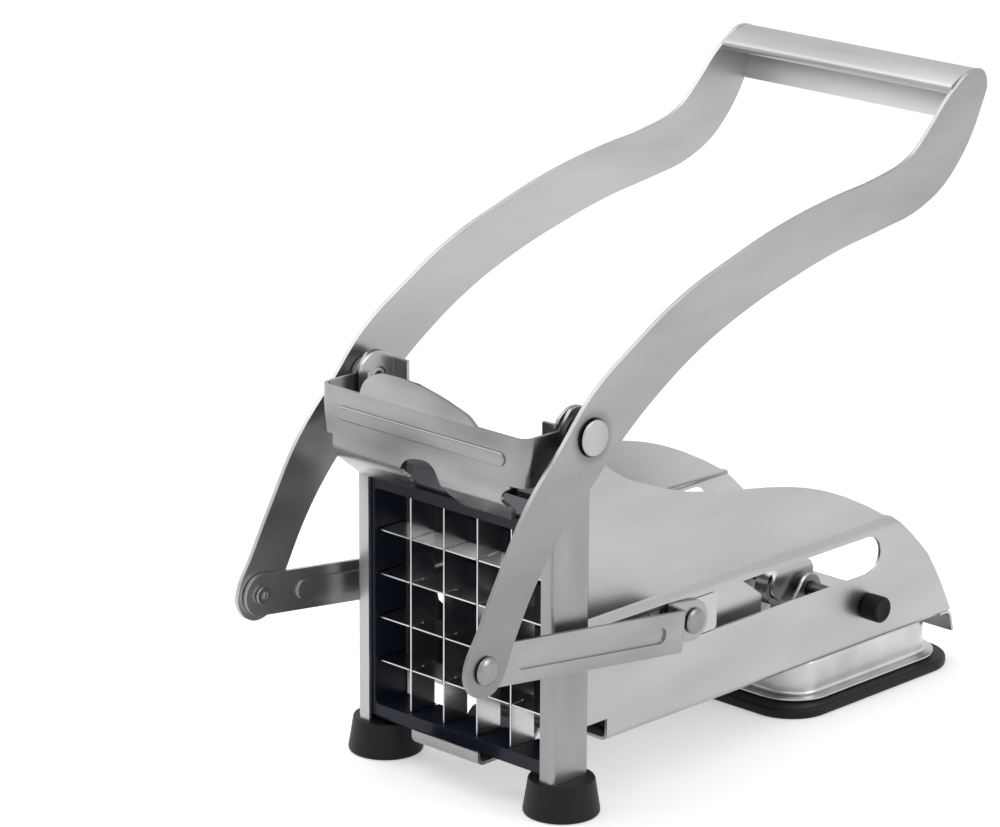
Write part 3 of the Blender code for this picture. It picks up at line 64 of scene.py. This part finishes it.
class Wire:
    """One output of a shader node, so that shader maths reads as plain maths."""

    def __init__(self, surface, socket):
        self.surface = surface
        self.socket = socket

    def __add__(self, other):
        return self.surface.maths("ADD", self, other)

    def __sub__(self, other):
        return self.surface.maths("SUBTRACT", self, other)

    def __rsub__(self, other):
        return self.surface.maths("SUBTRACT", other, self)

    def __mul__(self, other):
        return self.surface.maths("MULTIPLY", self, other)

    __radd__ = __add__
    __rmul__ = __mul__


class Surface:
    """A node tree in the making."""

    def __init__(self, tree):
        self.tree = tree

    def node(self, kind, settings=None, inputs=None, output=0):
        made = self.tree.nodes.new("ShaderNode" + kind)
        for name, value in (settings or {}).items():
            setattr(made, name, value)
        for name, value in (inputs or {}).items():
            self.plug(made.inputs[name], value)
        return Wire(self, made.outputs[output])

    def plug(self, socket, value):
        if isinstance(value, Wire):
            self.tree.links.new(value.socket, socket)
        else:
            socket.default_value = value

    def maths(self, operation, first, second):
        return self.node("Math", {"operation": operation}, {0: first, 1: second})

    def mix(self, factor, first, second):
        return self.node("Mix", {"data_type": "RGBA"}, {0: factor, 6: first, 7: second}, 2)

    def noise(self, scale, stretch=(1.0, 1.0, 1.0), detail=2.0):
        """Noise from 0 to 1 fixed to the object, with so many patches a metre along each axis."""
        place = self.node("TexCoord", output="Object")
        stretched = self.node("Mapping", {}, {"Vector": place, "Scale": stretch})
        return self.node("TexNoise", {}, {"Vector": stretched, "Scale": scale, "Detail": detail})

    def height(self):
        """The height on the object, in metres."""
        place = self.node("TexCoord", output="Object")
        return self.node("SeparateXYZ", {}, {"Vector": place}, "Z")

    def off_axis(self, place):
        """The distance from the line along X through the place, in metres."""
        here = self.node("TexCoord", output="Object")
        flat = self.node("VectorMath", {"operation": "MULTIPLY"}, {0: here, 1: (0.0, 1.0, 1.0)})
        line = (0.0, place.y, place.z)
        return self.node("VectorMath", {"operation": "DISTANCE"}, {0: flat, 1: line}, "Value")

    def shaded(self, colour, factor):
        """The colour times a plain number."""
        return self.node("VectorMath", {"operation": "SCALE"}, {"Vector": colour, "Scale": factor})

    def bump(self, height, depth):
        return self.node("Bump", {}, {"Height": height, "Distance": depth}, "Normal")

    def attribute(self, name):
        return self.node("Attribute", {"attribute_name": name}, {}, "Fac")

    def shown(self):
        """One where the camera, a reflection or a clear body looks at the surface, or else nought."""
        paths = [
            self.node("LightPath", output=name)
            for name in ("Is Camera Ray", "Is Glossy Ray", "Is Transmission Ray")
        ]
        return self.maths("MAXIMUM", self.maths("MAXIMUM", paths[0], paths[1]), paths[2])


# How many patches of each grain there are to a metre of steel
fine_streaks = 2600.0
broad_streaks = 420.0
steel_clouds = 55.0

# Painted shade: the darker ring on the sheet round a turning head, standing for the shade that falls round it
painted_ring_inside = 5.5 * mm
painted_ring_outside = 10.0 * mm
painted_ring_shade = 0.62


def grey(value):
    return (value, value, value, 1.0)


def principled(name):
    """A new material, as its surface and its shader's sockets."""
    material = bpy.data.materials.new(name)
    material.use_nodes = True
    surface = Surface(material.node_tree)
    return material, surface, material.node_tree.nodes["Principled BSDF"].inputs


def brushed_steel(name, tone, roughness, grain, smudge=0.12, low=None, high=None, painted_shade_fall=0.0, painted_ring_centre=None):
    """Satin stainless sheet. The grain's axis has long streaks, and the edges are polished by handling.

    Smudge is how much the broad patches differ. From the height high down to low the tone drops by the fall,
    a painted shade by height; a negative fall paints the lower part lighter.
    Round the place where a rivet's head turns, the sheet is darker: a ring of painted shade.
    """
    material, surface, sockets = principled(name)
    across = [1.0, 1.0, 1.0]
    across["XYZ".index(grain)] = 0.02
    patchy = [1.0, 1.0, 1.0]
    patchy["XYZ".index(grain)] = 0.3
    streaks = surface.noise(fine_streaks, across, 3.0)
    broad = surface.noise(broad_streaks, across, 2.0)
    cloudy = surface.noise(steel_clouds, patchy, 2.0)
    rim = surface.attribute("rim")
    shade = streaks * 0.5 + broad * 0.5
    plain = surface.mix(shade, grey(tone * 0.95), grey(tone * 1.05))
    clouds = surface.node("MapRange", {}, {"Value": cloudy, "From Min": 0.3, "From Max": 0.7})
    plain = surface.mix(clouds, surface.shaded(plain, 1.0 - smudge), surface.shaded(plain, 1.0 + smudge))
    # Painted shade by height: the tone drops towards low, or rises there where the fall is negative.
    if painted_shade_fall:
        level = surface.node("MapRange", {"interpolation_type": "SMOOTHSTEP"},
                             {"Value": surface.height(), "From Min": low, "From Max": high})
        plain = surface.mix(level, surface.shaded(plain, 1.0 - painted_shade_fall), plain)
    # Painted shade: a darker ring on the sheet round the rivet's axis.
    if painted_ring_centre:
        reach = {"Value": surface.off_axis(painted_ring_centre), "From Min": painted_ring_inside, "From Max": painted_ring_outside}
        away = surface.node("MapRange", {"interpolation_type": "SMOOTHSTEP"}, reach)
        plain = surface.mix(away, surface.shaded(plain, painted_ring_shade), plain)
    plain = surface.mix(rim * 0.3, plain, grey(min(tone * 1.2, 0.9)))
    # Painted shadow: faces marked by the pivot rivets come out near-black, the shadow of the gap under a
    # head.
    painted_gap_shadow = surface.attribute("painted_gap_shadow")
    surface.plug(sockets["Base Color"], surface.mix(painted_gap_shadow, plain, grey(0.03)))
    surface.plug(sockets["Roughness"], roughness - 0.05 + streaks * 0.06 + clouds * 0.05 - rim * 0.03)
    sockets["Metallic"].default_value = 1.0
    surface.plug(sockets["Normal"], surface.bump(streaks, grain_depth))
    return material


def moulded(name, colour, roughness, grain_scale, depth, gloss=0.25):
    """Moulded rubber or plastic, with a fine pitted grain and edges paler from slight wear."""
    material, surface, sockets = principled(name)
    pits = surface.noise(grain_scale, detail=3.0)
    cloudy = surface.noise(45.0, detail=3.0)
    rim = surface.attribute("rim")
    paler = tuple(channel * 1.5 + 0.006 for channel in colour[:3]) + (1.0,)
    plain = surface.mix(cloudy * 0.5 + pits * 0.3, colour, paler)
    sockets["Specular IOR Level"].default_value = gloss
    surface.plug(sockets["Base Color"], surface.mix(rim * 0.5, plain, paler))
    surface.plug(sockets["Roughness"], roughness - 0.06 + pits * 0.08 + cloudy * 0.06 - rim * 0.05)
    surface.plug(sockets["Normal"], surface.bump(pits, depth))
    return material


pivot_place = sum(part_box("right_pivot_rivet"), Vector()) / 2
grip_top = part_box("grip")[1].z
clamp_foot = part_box("clamp_plate")[0].z
# Painted light and shade in the tones: the near, right arm, post and link are darker copies of the steel and
# the far, left ones lighter, and the domed rivets are a darker copy of the rivet steel, for how light and
# reflections fall on them. The heights and falls given to the near arm, grip, trough and clamp paint shade by
# height, and the pivot place paints a ring of shade round the pivot rivets on both arms.
materials = {
    "near_arm": brushed_steel("satin_steel_right_arm", 0.37, 0.33, "Y", 0.10, 30 * mm, 170 * mm, 0.38,
                              pivot_place),
    "far_arm": brushed_steel("satin_steel_left_arm", 0.45, 0.36, "Y", 0.10, painted_ring_centre=pivot_place),
    "grip": brushed_steel("satin_steel_grip", 0.43, 0.42, "X", 0.10, grip_top - 15 * mm,
                          grip_top - 5 * mm, -0.60),
    "posts": brushed_steel("satin_steel_right_post", 0.32, 0.32, "Z", 0.18),
    "far_post": brushed_steel("satin_steel_left_post", 0.44, 0.32, "Z", 0.12),
    "trough": brushed_steel("satin_steel_trough", 0.43, 0.34, "Y", 0.08, 15 * mm, 70 * mm, -0.08),
    "clamp": brushed_steel("satin_steel_clamp", 0.26, 0.27, "X", 0.40, clamp_foot + 4 * mm,
                           clamp_foot + 11 * mm, -0.35),
    "near_link": brushed_steel("satin_steel_right_link", 0.33, 0.30, "Y", 0.16),
    "far_link": brushed_steel("satin_steel_left_link", 0.42, 0.34, "Y", 0.16),
    "inside": brushed_steel("satin_steel_inside", 0.46, 0.30, "Y"),
    "pan": brushed_steel("satin_steel_pan", 0.57, 0.30, "X", 0.16),
    "heads": brushed_steel("rivet_steel", 0.44, 0.28, "Z", 0.20),
    "domes": brushed_steel("domed_rivet_steel", 0.24, 0.26, "Z", 0.40),
    "axle": brushed_steel("blackened_steel", 0.06, 0.36, "X", 0.20),
    "blades": brushed_steel("blade_steel", 0.62, 0.22, "Y"),
    "rubber": moulded("black_rubber", (0.006, 0.006, 0.006, 1.0), 0.48, 2200.0, 0.02 * mm, 0.22),
    "knobs": moulded("black_plastic", (0.003, 0.003, 0.003, 1.0), 0.42, 3000.0, 0.01 * mm, 0.12),
    "plastic": moulded("dark_plastic", (0.006, 0.009, 0.018, 1.0), 0.30, 2600.0, 0.01 * mm, 0.22),
}


# Mesh helpers

def taken(node):
    """A welded copy of a node's mesh, with its flat faces whole."""
    mesh = bmesh.new()
    mesh.from_mesh(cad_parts[node].data)
    bmesh.ops.remove_doubles(mesh, verts=mesh.verts, dist=weld_distance)
    bmesh.ops.dissolve_limit(mesh, angle_limit=math.radians(0.6), verts=mesh.verts, edges=mesh.edges)
    return mesh


def rounder(mesh):
    """Splits the corners of the sheet's drawn outlines, such as the ends of slots, into finer ones.

    A corner where a curve runs into a long straight edge stays, because its bevel would slide far along it.
    """
    def on_curve(edge):
        beside = [
            other.calc_length() for corner in edge.verts for other in corner.link_edges if other != edge
        ]
        return max(beside) < longest_step * min(beside)

    rungs = [
        edge for edge in mesh.edges
        if len(edge.link_faces) == 2 and edge.calc_length() < longest_rung
        and math.radians(5.0) < edge.calc_face_angle(0.0) < math.radians(35.0) and on_curve(edge)
    ]
    bmesh.ops.bevel(
        mesh, geom=rungs, offset=rung_percent, offset_type="PERCENT", affect="EDGES", segments=bevel_steps,
        profile=0.5, clamp_overlap=True, material=-1, loop_slide=True,
    )


def soften(mesh, width, angle=smooth_angle):
    """Bevels the sharp edges and marks the new faces of outer edges as rims."""
    rim = mesh.faces.layers.float.new("rim")
    sharp = [edge for edge in mesh.edges if len(edge.link_faces) == 2 and edge.calc_face_angle(0.0) > angle]
    made = bmesh.ops.bevel(
        mesh, geom=sharp, offset=width, offset_type="OFFSET", affect="EDGES", segments=bevel_steps,
        profile=0.5, clamp_overlap=True, material=-1, loop_slide=True,
    )
    for face in made["faces"]:
        face[rim] = float(all(edge.is_convex or edge.calc_face_angle(0.0) < 0.01 for edge in face.edges))


def placed(name, mesh, body, material, slot, *nodes):
    """The mesh as a piece that rides on the body and stands for the nodes."""
    data = bpy.data.meshes.new(name)
    mesh.to_mesh(data)
    mesh.free()
    data.shade_smooth()
    data.set_sharp_from_angle(angle=smooth_angle)
    piece = bpy.data.objects.new(name, data)
    bpy.context.scene.collection.objects.link(piece)
    data.materials.append(materials[material])
    evened = piece.modifiers.new("even_normals", "WEIGHTED_NORMAL")
    evened.keep_sharp = True
    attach(piece, body)
    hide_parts(*nodes)
    return piece


def dressed(node, body, material, slot, width=0.2 * mm):
    mesh = taken(node)
    if node in outlined:
        rounder(mesh)
    soften(mesh, width)
    return placed(node + "_dressed", mesh, body, material, slot, node)


def turned(profile, centre, axis="X", side=1.0):
    """A mesh turned round an axis from (distance along, radius) points."""
    along = {"X": Vector((1, 0, 0)), "Y": Vector((0, 1, 0)), "Z": Vector((0, 0, 1))}[axis]
    out = {"X": Vector((0, 0, 1)), "Y": Vector((1, 0, 0)), "Z": Vector((1, 0, 0))}[axis]
    mesh = bmesh.new()
    corners = [mesh.verts.new(centre + along * (reach * side) + out * radius) for reach, radius in profile]
    edges = [mesh.edges.new(pair) for pair in zip(corners, corners[1:])]
    bmesh.ops.spin(
        mesh, geom=corners + edges, cent=centre, axis=along, angle=math.tau, steps=turned_steps,
        use_merge=True, dvec=(0, 0, 0),
    )
    bmesh.ops.remove_doubles(mesh, verts=mesh.verts, dist=weld_distance)
    bmesh.ops.recalc_face_normals(mesh, faces=mesh.faces)
    return mesh


# Pieces over the frame

def middle(node):
    low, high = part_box(node)
    return (low + high) / 2


# Nodes of sheet whose outlines are drawn finer
outlined = {
    "trough", "right_post", "left_post", "right_arm", "left_arm", "clamp_plate", "right_link", "left_link",
    "cam_bracket", "cam_lever", "carriage",
}


def arc(centre, radius, start, end, steps):
    """Points of (reach, radius) on a quarter or other part of a circle."""
    turns = [math.radians(start + (end - start) * step / steps) for step in range(steps + 1)]
    return [(centre[0] + radius * math.sin(turn), centre[1] + radius * math.cos(turn)) for turn in turns]


def dome(base, radius, height, shank, tail):
    """The outline of a domed rivet from its head's dimple out and back to its tail."""
    brow = 0.35 * mm
    crown = height - brow
    steps = 10
    turns = [math.radians(90 * step / steps) for step in range(steps)]
    curve = [(base + brow + crown * math.sin(turn), radius * math.cos(turn)) for turn in turns]
    top = base + height
    dimple = [(top - 0.12 * mm, 0.0), (top - 0.10 * mm, 0.35 * mm), (top - 0.02 * mm, 0.75 * mm)]
    seat = [(base, radius - 0.25 * mm), (base, shank), (tail, shank), (tail, 0.0)]
    return dimple + list(reversed(curve)) + seat


def axis_place(node):
    """The middle of a node that is turned round a line along X."""
    centre = middle(node)
    return Vector((0.0, centre.y, centre.z))


def reach_of(node, side):
    """How far from the middle plane a node's inner and outer ends lie."""
    low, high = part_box(node)
    ends = sorted((low.x * side, high.x * side))
    return ends[0], ends[1]


def make_arm_rivet(name, side):
    node = name + "_arm_rivet"
    inner, outer = reach_of(node, side)
    profile = dome(outer - 2.0 * mm, 4.5 * mm, 2.0 * mm, 2.2 * mm, inner)
    mesh = turned(profile, axis_place(node), "X", side)
    placed(node + "_turned", mesh, "lever", "domes", "bright_steel", node)


def make_pusher_rivet(name, side):
    node = name + "_pusher_rivet"
    inner, outer = reach_of(node, side)
    profile = dome(outer - 1.5 * mm, 4.2 * mm, 1.5 * mm, 2.2 * mm, inner + 1.0 * mm)[:-1]
    profile += [(inner + 1.0 * mm, 4.0 * mm), (inner + 0.8 * mm, 4.2 * mm), (inner + 0.2 * mm, 4.2 * mm),
                (inner, 4.0 * mm), (inner, 0.0)]
    mesh = turned(profile, axis_place(node), "X", side)
    placed(node + "_turned", mesh, "pusher", "domes", "bright_steel", node)


def make_pivot_rivet(name, side):
    """The flat head with a rolled edge and a thin flange ring outside its foot, painted near-black as the
    shadow of the gap under the head, the shank, and the hollow inner end.
    """
    node = name + "_pivot_rivet"
    inner, outer = reach_of(node, side)
    base, ring = outer - 1.2 * mm, 0.12 * mm
    profile = [(outer - 0.05 * mm, 0.0), (outer - 0.05 * mm, 4.4 * mm)]
    profile += reversed(arc((outer - 0.55 * mm, 5.15 * mm), 0.55 * mm, 0, 90, 5))
    profile += [(base + ring, 5.4 * mm), (base + ring, 6.05 * mm), (base, 6.1 * mm), (base, 3.1 * mm)]
    profile += [(inner + 0.3 * mm, 3.1 * mm), (inner, 2.8 * mm), (inner, 2.0 * mm)]
    profile += [(inner + 0.3 * mm, 1.7 * mm), (inner + 3.4 * mm, 1.7 * mm), (inner + 3.4 * mm, 0.0)]
    mesh = turned(profile, axis_place(node), "X", side)
    # Painted shadow: the faces at the head's foot and on its thin ring are marked near-black for the shadow
    # in the gap under the head.
    painted_gap_shadow = mesh.faces.layers.float.new("painted_gap_shadow")
    for face in mesh.faces:
        levels = [corner.co.x * side - base for corner in face.verts]
        face[painted_gap_shadow] = float(any(abs(level - edge) < 0.05 * mm for level in levels for edge in (0.0, ring)))
    placed(node + "_turned", mesh, "root", "heads", "bright_steel", node)


def make_knob(name, side):
    node = name + "_knob"
    inner, outer = reach_of(node, side)
    profile = [(outer - 0.1 * mm, 0.0), (outer - 0.1 * mm, 2.4 * mm), (outer, 3.0 * mm)]
    profile += reversed(arc((outer - 0.9 * mm, 3.5 * mm), 0.9 * mm, 0, 90, 6))
    profile += [(inner + 0.3 * mm, 4.4 * mm), (inner, 4.1 * mm), (inner, 0.0)]
    mesh = turned(profile, axis_place(node), "X", side)
    placed(node + "_turned", mesh, "suction_cam", "knobs", "black_plastic", node)


def make_foot(name):
    """A rubber cone with a soft rim, a swollen lower edge and the screw's counterbore below."""
    node = name + "_foot"
    centre = middle(node)
    centre.z = 0.0
    profile = [(11.6 * mm, 2.2 * mm), (11.6 * mm, 9.9 * mm), (11.45 * mm, 10.25 * mm),
               (11.1 * mm, 10.48 * mm),
               (6.0 * mm, 11.25 * mm), (2.4 * mm, 11.85 * mm)]
    profile += [(1.3 * mm, 12.02 * mm), (0.7 * mm, 12.0 * mm), (0.25 * mm, 11.75 * mm), (0.0, 11.2 * mm),
                (0.0, 4.4 * mm), (4.2 * mm, 4.4 * mm), (4.2 * mm, 2.2 * mm), (11.6 * mm, 2.2 * mm)]
    placed(node + "_turned", turned(profile, centre, "Z"), "root", "rubber", "black_rubber", node)


# Drawn pan and pad

def box_ring(half_width, front, rear, corner):
    """Points of a rounded rectangle seen from above, anticlockwise from its right rear corner."""
    ring = []
    for index, (x, y) in enumerate((
        (half_width - corner, rear - corner), (corner - half_width, rear - corner),
        (corner - half_width, front + corner), (half_width - corner, front + corner),
    )):
        for step in range(corner_steps + 1):
            turn = math.radians(90.0 * index + 90.0 * step / corner_steps)
            ring.append((x + corner * math.cos(turn), y + corner * math.sin(turn)))
    return ring


def round_ring(ring, centre, radius):
    """The ring's points drawn in to a circle."""
    drawn = []
    for x, y in ring:
        turn = math.atan2(y - centre[1], x - centre[0])
        drawn.append((centre[0] + radius * math.cos(turn), centre[1] + radius * math.sin(turn)))
    return drawn


def lofted(rings, closed=False):
    """A mesh through rings of (x, y, level) points. An open row gets its two ends filled."""
    mesh = bmesh.new()
    loops = []
    for ring, level in rings:
        corners = [mesh.verts.new((x, y, level)) for x, y in ring]
        loops.append([mesh.edges.new((corners[at - 1], corners[at])) for at in range(len(corners))])
    pairs = list(zip(loops, loops[1:])) + ([(loops[-1], loops[0])] if closed else [])
    for first, second in pairs:
        bmesh.ops.bridge_loops(mesh, edges=first + second)
    if not closed:
        for loop in (loops[0], loops[-1]):
            bmesh.ops.contextual_create(mesh, geom=loop)
    bmesh.ops.recalc_face_normals(mesh, faces=mesh.faces)
    return mesh


def make_pan():
    """The drawn pan: flat top, round shoulder, foot fillet and a flange with a turned edge."""
    low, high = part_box("suction_pan")
    flange, sheet = 3.8 * mm, 1.0 * mm
    half, front, rear = high.x - flange, low.y + flange, high.y - flange
    base, top = low.z, high.z
    shoulder, fillet, corner = 2.2 * mm, 1.2 * mm, 11.0 * mm
    outside = [
        (-shoulder * (1.0 - math.sin(turn)), top - shoulder * (1.0 - math.cos(turn)))
        for turn in map(math.radians, (0, 15, 30, 45, 60, 75, 90))
    ]
    outside += [
        (fillet * (1.0 - math.cos(turn)), base + sheet + fillet * (1.0 - math.sin(turn)))
        for turn in map(math.radians, (0, 22, 45, 68, 90))
    ]
    outside += [(flange - 0.5 * mm, base + sheet), (flange - 0.1 * mm, base + sheet - 0.12 * mm),
                (flange, base + 0.5 * mm)]
    inside = [(flange - 0.2 * mm, base), (fillet - sheet, base), (-sheet, base + sheet),
              (-sheet, top - shoulder), (-shoulder, top - sheet)]
    rings = [(box_ring(half + out, front - out, rear + out, max(corner + out, 1.0 * mm)), level)
             for out, level in outside + inside]
    placed("suction_pan_drawn", lofted(rings), "root", "pan", "sheet_steel", "suction_pan")


def make_pad():
    """The rubber pad with soft edges, a resting band, a hollow underside and the membrane's window."""
    low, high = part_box("suction_pad")
    half, front, rear, top = high.x, low.y, high.y, high.z
    corner, band, hollow = 15.0 * mm, 7.0 * mm, 0.8 * mm
    place = (0.0, middle("suction_membrane").y)
    window = 13.3 * mm
    inner = box_ring(half - band, front + band, rear - band, corner - band)
    path = [(-1.3 * mm, top), (-0.7 * mm, top - 0.12 * mm), (-0.25 * mm, top - 0.45 * mm),
            (0.0, top - 1.0 * mm),
            (0.0, 1.0 * mm), (-0.2 * mm, 0.45 * mm), (-0.6 * mm, 0.1 * mm), (-1.1 * mm, 0.0),
            (-band + 0.6 * mm, 0.0), (-band + 0.1 * mm, 0.2 * mm)]
    rings = [(round_ring(inner, place, window), top)]
    rings += [(box_ring(half + out, front - out, rear + out, corner + out), level) for out, level in path]
    rings += [(inner, hollow), (round_ring(inner, place, window), hollow)]
    placed("suction_pad_moulded", lofted(rings, closed=True), "root", "rubber", "black_rubber", "suction_pad")


# Clamp

def make_clamp():
    """The clamp with its pressed rib rounded."""
    mesh = taken("clamp_plate")
    rounder(mesh)
    face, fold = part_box("clamp_plate")[0].y, 1.0
    brow = [
        edge for edge in mesh.edges
        if all(abs(corner.co.y - face) < 0.02 * mm for corner in edge.verts)
        and edge.calc_face_angle(0.0) > fold
    ]
    bmesh.ops.bevel(
        mesh, geom=brow, offset=0.72 * mm, offset_type="OFFSET", affect="EDGES", segments=5,
        profile=0.5, clamp_overlap=True, material=-1, loop_slide=True,
    )
    soften(mesh, 0.25 * mm, math.radians(50.0))
    placed("clamp_plate_pressed", mesh, "clamp", "clamp", "sheet_steel", "clamp_plate")


# Rolled grip

def smooth_path(points, steps):
    """A curve through the points, with so many steps from each to the next."""
    padded = [points[0] * 2 - points[1]] + points + [points[-1] * 2 - points[-2]]
    curve = []
    for at in range(1, len(padded) - 2):
        before, start, end, after = padded[at - 1:at + 3]
        for step in range(steps):
            t = step / steps
            bend = (2 * before - 5 * start + 4 * end - after) * t ** 2
            twist = (3 * start - before - 3 * end + after) * t ** 3
            curve.append(0.5 * (2 * start + (end - before) * t + bend + twist))
    return curve + [points[-1]]


def make_grip():
    """The rolled sheet handle: a hemmed front edge, a crowned top, and a back that runs down to the heel."""
    low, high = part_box("grip")
    size, sheet = 19.3 * mm, 1.2 * mm
    centre = Vector((high.y - 8.3 * mm, high.z - 8.46 * mm))
    shares = [(-0.345, 0.10), (-0.39, 0.125), (-0.428, 0.17), (-0.438, 0.225), (-0.415, 0.265),
              (-0.33, 0.315),
              (-0.18, 0.385), (-0.02, 0.438), (0.12, 0.468), (0.24, 0.462), (0.345, 0.40), (0.415, 0.31),
              (0.438, 0.20), (0.425, 0.09), (0.39, -0.04), (0.325, -0.24), (0.235, -0.49)]
    path = smooth_path([centre + size * Vector(share) for share in shares], 3)
    mesh = bmesh.new()
    reach = high.x + 0.35 * mm
    row = [mesh.verts.new((-reach, point.x, point.y)) for point in path]
    edges = [mesh.edges.new(pair) for pair in zip(row, row[1:])]
    drawn = bmesh.ops.extrude_edge_only(mesh, edges=edges)["geom"]
    moved = [item for item in drawn if isinstance(item, bmesh.types.BMVert)]
    bmesh.ops.translate(mesh, vec=(2 * reach, 0.0, 0.0), verts=moved)
    bmesh.ops.recalc_face_normals(mesh, faces=mesh.faces)
    top = max(mesh.faces, key=lambda face: face.calc_center_median().z)
    if top.normal.z < 0:
        bmesh.ops.reverse_faces(mesh, faces=mesh.faces)
    bmesh.ops.solidify(mesh, geom=mesh.faces, thickness=sheet)
    soften(mesh, 0.15 * mm)
    placed("grip_rolled", mesh, "lever", "grip", "sheet_steel", "grip")


looks = {
    "root": {
        "right_post": ("posts", "sheet_steel"), "left_post": ("far_post", "sheet_steel"),
        "trough": ("trough", "sheet_steel"), "front_rest": ("posts", "sheet_steel"),
        "right_foot_screw": ("heads", "bright_steel"), "left_foot_screw": ("heads", "bright_steel"),
        "right_pivot_spacer": ("heads", "bright_steel"), "left_pivot_spacer": ("heads", "bright_steel"),
        "cam_bracket": ("inside", "sheet_steel"),
        "pan_rivet_1": ("heads", "bright_steel"), "pan_rivet_2": ("heads", "bright_steel"),
        "pan_rivet_3": ("heads", "bright_steel"), "pan_rivet_4": ("heads", "bright_steel"),
    },
    "lever": {
        "right_arm": ("near_arm", "sheet_steel"), "left_arm": ("far_arm", "sheet_steel"),
    },
    "grid": {
        "grid_frame": ("plastic", "dark_plastic"),
        "vertical_blade_1": ("blades", "blade_steel"), "vertical_blade_2": ("blades", "blade_steel"),
        "vertical_blade_3": ("blades", "blade_steel"), "vertical_blade_4": ("blades", "blade_steel"),
        "horizontal_blade_1": ("blades", "blade_steel"), "horizontal_blade_2": ("blades", "blade_steel"),
        "horizontal_blade_3": ("blades", "blade_steel"), "horizontal_blade_4": ("blades", "blade_steel"),
    },
    "pusher": {
        "pusher_block": ("plastic", "dark_plastic"), "carriage": ("inside", "sheet_steel"),
        "right_shoe": ("inside", "sheet_steel"), "left_shoe": ("inside", "sheet_steel"),
        "block_screw_1": ("heads", "bright_steel"), "block_screw_2": ("heads", "bright_steel"),
    },
    "right_link_body": {
        "right_link": ("near_link", "sheet_steel"), "right_link_collar": ("heads", "bright_steel"),
    },
    "left_link_body": {
        "left_link": ("far_link", "sheet_steel"), "left_link_collar": ("heads", "bright_steel"),
    },
    "suction_cam": {
        "cam_axle": ("axle", "black_axle"), "cam_lever": ("inside", "sheet_steel"),
    },
    "membrane": {
        "membrane_stud": ("heads", "bright_steel"), "suction_membrane": ("rubber", "black_rubber"),
    },
}

for name, side in (("right", 1.0), ("left", -1.0)):
    make_arm_rivet(name, side)
    make_pusher_rivet(name, side)
    make_pivot_rivet(name, side)
    make_knob(name, side)
    make_foot(name)
make_pan()
make_pad()
make_grip()
make_clamp()
for body, nodes in looks.items():
    for node, (material, slot) in nodes.items():
        dressed(node, body, material, slot, 0.4 * mm if material.endswith("link") else 0.2 * mm)


# Floor, lamps and camera

floor_glow = 0.42     # what the floor adds where it is seen, so that it shows white
room_light = 0.62     # what the white room gives off as light

def make_floor():
    """A pale floor that shows white to the camera and keeps the object's shadow."""
    mesh = bmesh.new()
    bmesh.ops.create_grid(mesh, x_segments=1, y_segments=1, size=6.0)
    data = bpy.data.meshes.new("floor")
    mesh.to_mesh(data)
    mesh.free()
    floor = bpy.data.objects.new("floor", data)
    bpy.context.scene.collection.objects.link(floor)
    material, surface, sockets = principled("pale_floor")
    cloudy = surface.noise(3.0, detail=2.0)
    surface.plug(sockets["Base Color"], surface.mix(cloudy, grey(0.78), grey(0.80)))
    sockets["Roughness"].default_value = 0.9
    surface.plug(sockets["Emission Color"], surface.mix(surface.shown(), grey(0.0), grey(floor_glow)))
    sockets["Emission Strength"].default_value = 1.0
    data.materials.append(material)


def make_world():
    world = bpy.data.worlds.new("studio")
    bpy.context.scene.world = world
    world.use_nodes = True
    surface = Surface(world.node_tree)
    background = world.node_tree.nodes["Background"].inputs
    surface.plug(background["Color"], surface.mix(surface.shown(), grey(room_light), grey(1.0)))
    background["Strength"].default_value = 1.0


def make_lamp(name, place, target, size, power):
    data = bpy.data.lights.new(name, "AREA")
    data.shape = "DISK"
    data.size = size
    data.energy = power
    lamp = bpy.data.objects.new(name, data)
    lamp.location = place
    lamp.rotation_euler = (Vector(target) - Vector(place)).to_track_quat("-Z", "Y").to_euler()
    bpy.context.scene.collection.objects.link(lamp)


def make_camera():
    """The photo's own view, worked out from the machine's straight edges."""
    azimuth, elevation, roll = math.radians(44.01), math.radians(16.82), math.radians(0.25)
    place = (0.9181, -1.008286, 0.5167)
    ahead = Vector((
        -math.sin(azimuth) * math.cos(elevation),
        math.cos(azimuth) * math.cos(elevation),
        -math.sin(elevation),
    ))
    right = Vector((math.cos(azimuth), math.sin(azimuth), 0.0))
    up = right.cross(ahead)
    across = right * math.cos(roll) + up * math.sin(roll)
    upright = up * math.cos(roll) - right * math.sin(roll)
    data = bpy.data.cameras.new("camera")
    data.lens = 161.28
    data.sensor_width = 36.0
    data.sensor_fit = "HORIZONTAL"
    camera = bpy.data.objects.new("camera", data)
    turn = Matrix((across, upright, -ahead)).transposed().to_4x4()
    camera.matrix_world = Matrix.Translation(place) @ turn
    bpy.context.scene.collection.objects.link(camera)
    bpy.context.scene.camera = camera


make_floor()
make_world()
make_lamp("top_softbox", (-0.35, -0.25, 1.1), (0.0, 0.0, 0.1), 1.3, 6.0)
make_lamp("side_softbox", (1.1, 0.35, 0.6), (0.0, 0.0, 0.1), 0.7, 3.0)
make_lamp("left_softbox", (-1.1, -0.2, 0.45), (0.0, 0.0, 0.08), 0.7, 2.0)
make_camera()
bpy.context.scene.view_settings.view_transform = "Standard"
